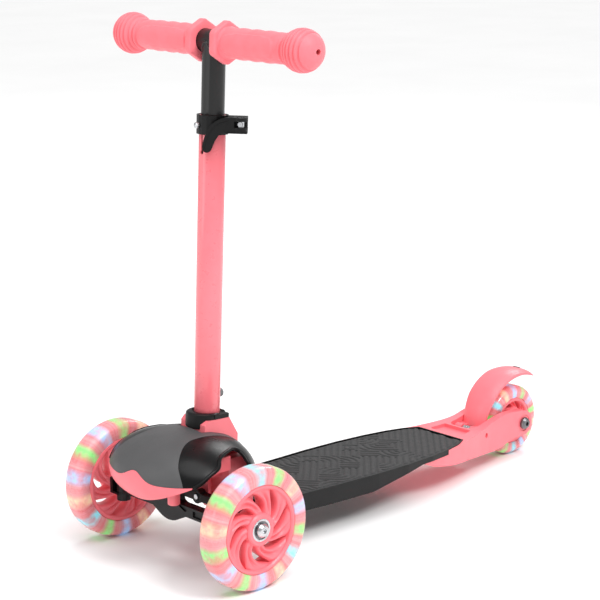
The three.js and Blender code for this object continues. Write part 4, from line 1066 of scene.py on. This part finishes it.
# ---------------------------------------------------------------- handlebar
class SCOOTER_OT_handlebar(bpy.types.Operator):
    """Builds the T bar and its two ball-ended grips"""

    bl_idname = "scooter.handlebar"
    bl_label = "Handlebar"

    def execute(self, context):
        sizes = context.scene.scooter_column
        stem, bar, height = sizes.inner / MM, sizes.bar / MM, COLUMN["bar"]
        wall = stem - 1.6
        section = [(wall, 262), (stem - 0.3, 262), (stem, 262.3), (stem, height), (wall, height)]
        upright = lathe(section, "z", 80)
        cross = lathe([(bar - 2, -119), (bar, -119), (bar, 119), (bar - 2, 119)], "x", 80, (0, 0, height))
        body = raw_object("handlebar_welded", on_column(upright))
        carve(body, on_column(cross), operation="UNION")
        finish_piece(body, "bar", "black_steel", angle=40, replaces=("handlebar",))
        self.weld(stem, bar, height)
        for name, side in SIDES:
            self.grip(name, side, height, sizes.grip / MM, sizes.ball / MM)
        return {"FINISHED"}

    def weld(self, stem, bar, height):
        """Bead of weld where the cross tube sits on the upright."""
        steps, sides = 72, 8
        path = []
        for k in range(steps):
            angle = TURN * k / steps
            x, y = (stem + 0.1) * math.sin(angle), (stem + 0.1) * math.cos(angle)
            depth = math.sqrt(max(bar**2 - y * y, 0.0)) if abs(y) < bar else 0.0
            path.append(Vector((x, y, height - depth - 0.35 + 0.12 * math.sin(angle * 30))))
        loops = []
        for k, spot in enumerate(path):
            ahead = (path[(k + 1) % steps] - path[k - 1]).normalized()
            out = Vector((spot.x, spot.y, 0)).normalized()
            rise = ahead.cross(out)
            turns = [TURN * j / sides for j in range(sides)]
            loops.append([spot + (out * math.cos(a) + rise * math.sin(a)) * 1.1 for a in turns])
        points, faces = loft(loops, capped=False)
        last = (steps - 1) * sides
        faces += [(last + j, last + (j + 1) % sides, (j + 1) % sides, j) for j in range(sides)]
        bead = on_column((points, faces))
        make("handlebar_weld", bead, "bar", "black_steel", angle=60)

    def grip(self, name, side, height, barrel, ball):
        """Grip: a hexagon flange, a barrel with finger bumps and a plain raised panel, and a ridged ball."""
        around, hub = 72, 11.3
        turns = [TURN * k / around for k in range(around)]

        def ring(x, radii):
            spots = zip(turns, radii)
            return [(side * x, r * math.cos(angle), height + r * math.sin(angle)) for angle, r in spots]

        stations = self.stations(barrel, ball)
        loops = [ring(x, self.section(x, radius, kind, turns)) for x, radius, kind in stations]
        loops += [ring(x, [hub] * around) for x in (121.0, 13.0)]
        body = raw_object(f"grip_{name}_soft", on_column(loft(loops, capped=False)))
        work = bmesh.new()
        work.from_mesh(body.data)
        edges = [edge for edge in work.edges if edge.is_boundary]
        bmesh.ops.bridge_loops(work, edges=edges)
        bmesh.ops.recalc_face_normals(work, faces=work.faces)
        work.to_mesh(body.data)
        work.free()
        carve(body, on_column(rod(2.7, side * 128, side * 150, "x", 28, (0, 0, height))))
        finish_piece(body, "bar", "grip_rubber", angle=42, replaces=(f"grip_{name}",))

    def section(self, x, radius, kind, turns):
        """Radii round a grip at a distance from the middle."""
        if kind == "hexagon":
            sixth = math.pi / 3
            return [radius * 0.91 / max(math.cos((a + sixth / 2) % sixth - sixth / 2), 0.9) for a in turns]
        if kind == "barrel":
            return [self.barrel_radius(radius, x, a) for a in turns]
        return [radius] * len(turns)

    def barrel_radius(self, radius, x, angle):
        """Radius of the grip's barrel: finger bumps above and below, and a raised panel in front."""
        along = (x - 24) / 72
        fade = max(0.0, min(1.0, min(along, 1 - along) * 9))
        vertical = abs(math.sin(angle)) ** 2.2
        bumps = 0.7 * vertical * (0.5 + 0.5 * math.cos(TURN * 4.0 * along)) * fade
        raised = 0.0
        if math.cos(angle) < 0:
            height = math.asin(max(-1, min(1, math.sin(angle)))) * radius
            oval = ((x - 60) / 34) ** 4 + (height / 10.5) ** 4
            raised = 1.3 * max(0.0, min(1.0, (1.08 - oval) * 9))
        return radius + bumps - 0.5 + raised

    def stations(self, barrel, ball):
        """(distance from the middle, radius, kind of section) from a grip's flange to its domed end."""
        ball_x = 120.0
        out = [
            (13.0, 18.4, "hexagon"), (13.6, 19.5, "hexagon"), (14.6, 20.0, "hexagon"),
            (19.6, 20.0, "hexagon"), (20.6, 19.5, "hexagon"), (21.2, 18.4, "hexagon"),
            (21.5, barrel + 0.9, "round"), (23.0, barrel + 0.2, "round"),
        ]
        out += [(24 + i * 1.2, barrel, "barrel") for i in range(61)]
        first, pitch = 100.5, 4.3
        count, ridged = 112, 7.5 * pitch
        for k in range(count):
            x = first + ridged * k / count
            swell = math.sqrt(max(ball**2 - (ball_x - x) ** 2, 0.0)) if x > ball_x - ball else 0.0
            groove = 1.9 * (0.5 + 0.5 * math.cos(TURN * (x - first) / pitch)) ** 2.4
            out.append((x, max(swell, barrel + 0.3) - groove, "round"))
        start = math.asin((ball_x - first - ridged) / ball)
        for k in range(1, 15):
            angle = -start + (math.pi / 2 + start) * k / 15
            out.append((ball_x + ball * math.sin(angle), ball * math.cos(angle), "round"))
        out.append((ball_x + ball, 0.02, "round"))
        return out


# ---------------------------------------------------------------- deck, tail and brake
DECK = {"front": 66, "top": 52.5, "rear": 368}
DECK_LENGTH = DECK["rear"] - DECK["front"]
DECK_SLOPE = math.radians(1.15)
# Half width of the deck at distances behind its front edge.
DECK_HALVES = (
    (0, 42), (24, 48.5), (84, 52.5), (149, 55), (194, 54.5), (234, 51.5), (264, 47), (286, 41), (302, 33),
)
DECK_CURVE = spline(DECK_HALVES, 10)


def on_deck(shape):
    """A shape drawn with the deck's top at z 0 and its front edge at y 0, set in its place."""
    place = Matrix.Translation((0, DECK["front"], DECK["top"]))
    return moved(shape, place @ Matrix.Rotation(-DECK_SLOPE, 4, "X"))


def deck_half(y):
    """Half width of the deck at a distance behind its front edge, always inside the structural outline."""
    return min(read(DECK_CURVE, y), read(DECK_HALVES, y))


def deck_outline(inset, steps=90):
    """Outline of the deck, drawn in from its edge."""
    ys = [inset + (DECK_LENGTH - 2 * inset) * i / steps for i in range(steps + 1)]
    right = [(deck_half(y) - inset, y) for y in ys]
    return right + [(-x, y) for x, y in reversed(right)]


class SCOOTER_OT_deck(bpy.types.Operator):
    """Builds the deck tray and its embossed rubber mat"""

    bl_idname = "scooter.deck"
    bl_label = "Deck"

    def execute(self, context):
        sizes = context.scene.scooter_deck
        dress("deck_tray", "black_plastic", bevel=0.7, angle=28)
        self.mat(sizes.rib_pitch / MM, sizes.rib_height / MM, sizes.mesh_step / MM)
        for k in range(1, 5):
            dress(f"deck_screw_{k}", "bright_steel", bevel=0.4)
        return {"FINISHED"}

    def mat(self, pitch, rise, step):
        """Rubber mat as a fine mesh whose top follows the embossed maze."""
        rows, cols = int(DECK_LENGTH / step), int(106 / step)
        top, under = [], []
        for i in range(rows + 1):
            y = 2.0 + (DECK_LENGTH - 4.0) * i / rows
            half = deck_half(y) - 2.0
            tail = max(0.0, (y - (DECK_LENGTH - 10)) / 10)
            row_top, row_under = [], []
            for j in range(cols + 1):
                across = 2 * j / cols - 1
                x = half * across
                back = y + 2.2 * math.sin(across * 9.5) * tail - 1.5 * tail
                edge = min(half - abs(x), y - 1.5, DECK_LENGTH - 2.2 - y)
                fall = max(0.0, 1 - edge / 1.6)
                relief = emboss(x, y, pitch) * rise * min(1.0, max(0.0, (edge - 2.4) / 1.2))
                row_top.append((x, back, -rise + relief - 0.7 * fall * fall))
                row_under.append((x, back, -2.3))
            top.append(row_top)
            under.append(row_under)
        make("deck_mat_embossed", on_deck(sheet(top, under)), "frame", "mat_rubber",
             angle=75, replaces=("deck_mat",))


def cell_value(a, b, salt):
    """Steady number from 0 to 1 for a cell of the maze."""
    value = math.sin(a * 127.1 + b * 311.7 + salt * 74.7) * 43758.5453
    return value - math.floor(value)


def emboss(x, y, pitch):
    """Height from 0 to 1 of the mat's maze: ribs on the slant, ringed corners and short turns."""
    u, v = (x + y) * math.sqrt(0.5), (y - x) * math.sqrt(0.5)
    if y > 252 or (y > 225 and x > -8):
        return ridge(u / pitch)
    size = pitch * 3
    a, b = math.floor(u / size), math.floor(v / size)
    pu, pv = u / size - a, v / size - b
    kind = cell_value(a, b, 1)
    if kind < 0.18:
        return ridge(v / pitch)
    if kind < 0.56:
        return ridge(u / pitch)
    corner = int(cell_value(a, b, 2) * 4)
    cu, cv = pu - (corner % 2), pv - (corner // 2)
    if kind < 0.84:
        return ridge(math.hypot(cu, cv) * size / pitch)
    return ridge(max(abs(pu - 0.5), abs(pv - 0.5)) * size / pitch + 0.5)


def ridge(place):
    """Rounded rib with a groove between it and the next one."""
    wave = 0.5 + 0.5 * math.cos(TURN * place)
    return max(0.0, min(1.0, (wave - 0.16) / 0.34))


TAIL_TOP = ((470, 54.9), (456, 56.4), (435, 54.4), (408, 48.4), (368, 46), (330, 46.6), (288, 47.5))
TAIL_LOW = (
    (288, 41), (308, 33.5), (344, 26.2), (377, 22.6), (421, 18.2), (436, 19.2), (451, 22.6), (466, 25.2),
)
TAIL_HALVES = ((288, 51), (306, 50), (335, 46.5), (356, 41.5), (385, 34.5), (410, 28.5), (430, 26), (500, 26))


class SCOOTER_OT_tail(bpy.types.Operator):
    """Finishes the tail that forks round the rear wheel, and its axle bolt"""

    bl_idname = "scooter.tail"
    bl_label = "Tail"

    def execute(self, context):
        self.fork()
        for node in ("rear_axle_bolt", "rear_axle_nut", "rear_axle_spacer_left", "rear_axle_spacer_right"):
            dress(node, "dark_steel", bevel=0.5)
        return {"FINISHED"}

    def fork(self):
        """Coral tail: two arms with rounded rims, a sunk floor behind the deck and a well for the wheel."""
        end = arc((REAR_Y, REAR_Z), 13.9, -86, 75, 18)
        side = spline(TAIL_LOW, 6) + end + spline(TAIL_TOP, 6)
        right = spline([(half, y) for y, half in TAIL_HALVES], 6)
        plan = right + [(-x, y) for x, y in reversed(right)]
        body = raw_object("tail_fork_soft", slab(side, -60, 60, "x"))
        carve(body, slab(plan, 0, 99, "z"), operation="INTERSECT")
        half_well = [(9, 398), (14, 399.5), (16.8, 404), (16.8, 560)]
        well = half_well + [(-x, y) for x, y in reversed(half_well)]
        sunk = [(-20, 374), (20, 374), (22, 377), (19, 395.4), (-19, 395.4), (-22, 377)]
        outline = [(x + math.copysign(0.3, x), y) for x, y in deck_outline(-0.01)]
        deck_room = on_deck(slab(outline, -6.0, 50, "z"))
        axle = rod(4.0, -60, 60, "x", 40, (0, REAR_Y, REAR_Z))
        hinge = rod(2.8, -60, 60, "x", 32, BRAKE_PIN)
        carve(body, slab(well, 0, 99, "z"), slab(sunk, 43.4, 99, "z"), deck_room, axle, hinge)
        self.recess(body)
        finish_piece(body, "frame", "coral_plastic", bevel=1.7, segments=4, angle=33,
                     replaces=("tail_fork",))

    def recess(self, body):
        """Shallow dish round the axle's end on each arm."""
        for _, side in SIDES:
            low, high = sorted((side * 25.2, side * 27))
            carve(body, rod(9.6, low, high, "x", 48, (0, REAR_Y, REAR_Z)))


class SCOOTER_OT_brake(bpy.types.Operator):
    """Builds the crowned fender brake with its pin and spring"""

    bl_idname = "scooter.brake"
    bl_label = "Fender Brake"

    def execute(self, context):
        self.fender()
        self.insert()
        section = [(0.01, -25.6), (2.1, -25.6), (2.5, -25.2), (2.5, 25.2), (2.1, 25.6), (0.01, 25.6)]
        pin = lathe(section, "x", 32, BRAKE_PIN)
        make("brake_pin_flush", pin, "frame", "coral_plastic", angle=40, replaces=("brake_pin",))
        dress("brake_spring", "bright_steel")
        return {"FINISHED"}

    def fender(self):
        """Crowned fender that sweeps over the wheel and ends in a thin lip."""
        crown, steps, across = 59.4, 40, 16
        halves = ((0, 15.7), (0.12, 15.9), (0.3, 18.2), (0.62, 18.4), (0.85, 17), (0.95, 15.4), (1, 13.4))
        walls = ((0, 5.2), (0.7, 5.2), (0.9, 4.2), (1, 2.2))
        places = [1 - 2 * j / across for j in range(across + 1)]
        loops = []
        for k in range(steps + 1):
            angle = math.radians(178 - 121.5 * k / steps)
            half, wall = read(halves, k / steps), read(walls, k / steps)
            loop = [(half * a, crown - 3.4 * abs(a) ** 2.6) for a in places]
            for a in reversed(places):
                lip = 0.9 if abs(a) == 1 else 0
                loop.append((half * a, crown - wall - 2.2 * abs(a) ** 2.6 + lip))
            loops.append([(x, REAR_Y + r * math.cos(angle), REAR_Z + r * math.sin(angle)) for x, r in loop])
        body = raw_object("brake_fender_soft", loft(loops))
        ear = block((-15.7, 412, 33.8), (15.7, 423.6, 44.4))
        carve(body, ear, rod(5.9, -15.7, 15.7, "x", 48, BRAKE_PIN), operation="UNION")
        spring_room = block((-6, 404, 31.6), (6, 418.5, 46.6))
        wheel_room = rod(52, -40, 40, "x", 96, (0, REAR_Y, REAR_Z))
        carve(body, spring_room, rod(2.8, -40, 40, "x", 32, BRAKE_PIN), wheel_room)
        finish_piece(body, "brake", "coral_plastic", bevel=1.1, segments=3, angle=36,
                     replaces=("brake_fender",))

    def insert(self):
        """Small dark oval plug on the fender's crown."""
        angle = math.radians(74)
        out = Vector((0, math.cos(angle), math.sin(angle)))
        along = Vector((0, -math.sin(angle), math.cos(angle)))
        wide = Vector((5.2, 0, 0))
        turns = [TURN * k / 32 for k in range(32)]
        loops = []
        for grow, height in ((1, 58.2), (1, 59.45), (0.9, 59.85), (0.6, 60.05), (0.2, 60.1)):
            centre = Vector((0, REAR_Y, REAR_Z)) + out * height
            loops.append([centre + (wide * math.cos(a) + along * 3.3 * math.sin(a)) * grow for a in turns])
        make("brake_fender_plug", loft(loops), "brake", "black_plastic", finish="insert", angle=50)


# ---------------------------------------------------------------- sidebar and start
PARTS = ("stage", "wheels", "truck", "nose", "column", "clamp", "handlebar", "deck", "tail", "brake")


class SCOOTER_PT_build(bpy.types.Panel):
    """Sizes, colours and build steps of the scooter"""

    bl_idname = "SCOOTER_PT_build"
    bl_label = "Kick Scooter"
    bl_space_type = "VIEW_3D"
    bl_region_type = "UI"
    bl_category = "Scooter"

    def draw(self, context):
        layout = self.layout
        for name in ("scooter_wheels", "scooter_column", "scooter_deck", "scooter_colours"):
            box = layout.box()
            group = getattr(context.scene, name)
            for key in group.bl_rna.properties.keys():
                if key not in ("rna_type", "name"):
                    box.prop(group, key)
        for part in PARTS:
            layout.operator(f"scooter.{part}")


GROUPS = {
    "scooter_wheels": ScooterWheelSizes,
    "scooter_column": ScooterColumnSizes,
    "scooter_deck": ScooterDeckSizes,
    "scooter_colours": ScooterColours,
}
CLASSES = (
    *GROUPS.values(),
    SCOOTER_OT_stage,
    SCOOTER_OT_wheels,
    SCOOTER_OT_truck,
    SCOOTER_OT_nose,
    SCOOTER_OT_column,
    SCOOTER_OT_clamp,
    SCOOTER_OT_handlebar,
    SCOOTER_OT_deck,
    SCOOTER_OT_tail,
    SCOOTER_OT_brake,
    SCOOTER_PT_build,
)


def register():
    """Adds the operators, the panel and the settings to Blender."""
    for cls in CLASSES:
        bpy.utils.register_class(cls)
    for name, group in GROUPS.items():
        setattr(bpy.types.Scene, name, bpy.props.PointerProperty(type=group))


def unregister():
    """Takes them out again."""
    for name in GROUPS:
        delattr(bpy.types.Scene, name)
    for cls in reversed(CLASSES):
        bpy.utils.unregister_class(cls)


def main():
    """Builds the whole scooter, one operator after another."""
    register()
    FINISH.update(build_finishes(bpy.context.scene.scooter_colours))
    for part in PARTS:
        getattr(bpy.ops.scooter, part)()
    bpy.context.view_layer.update()


if __name__ == "__main__":
    main()
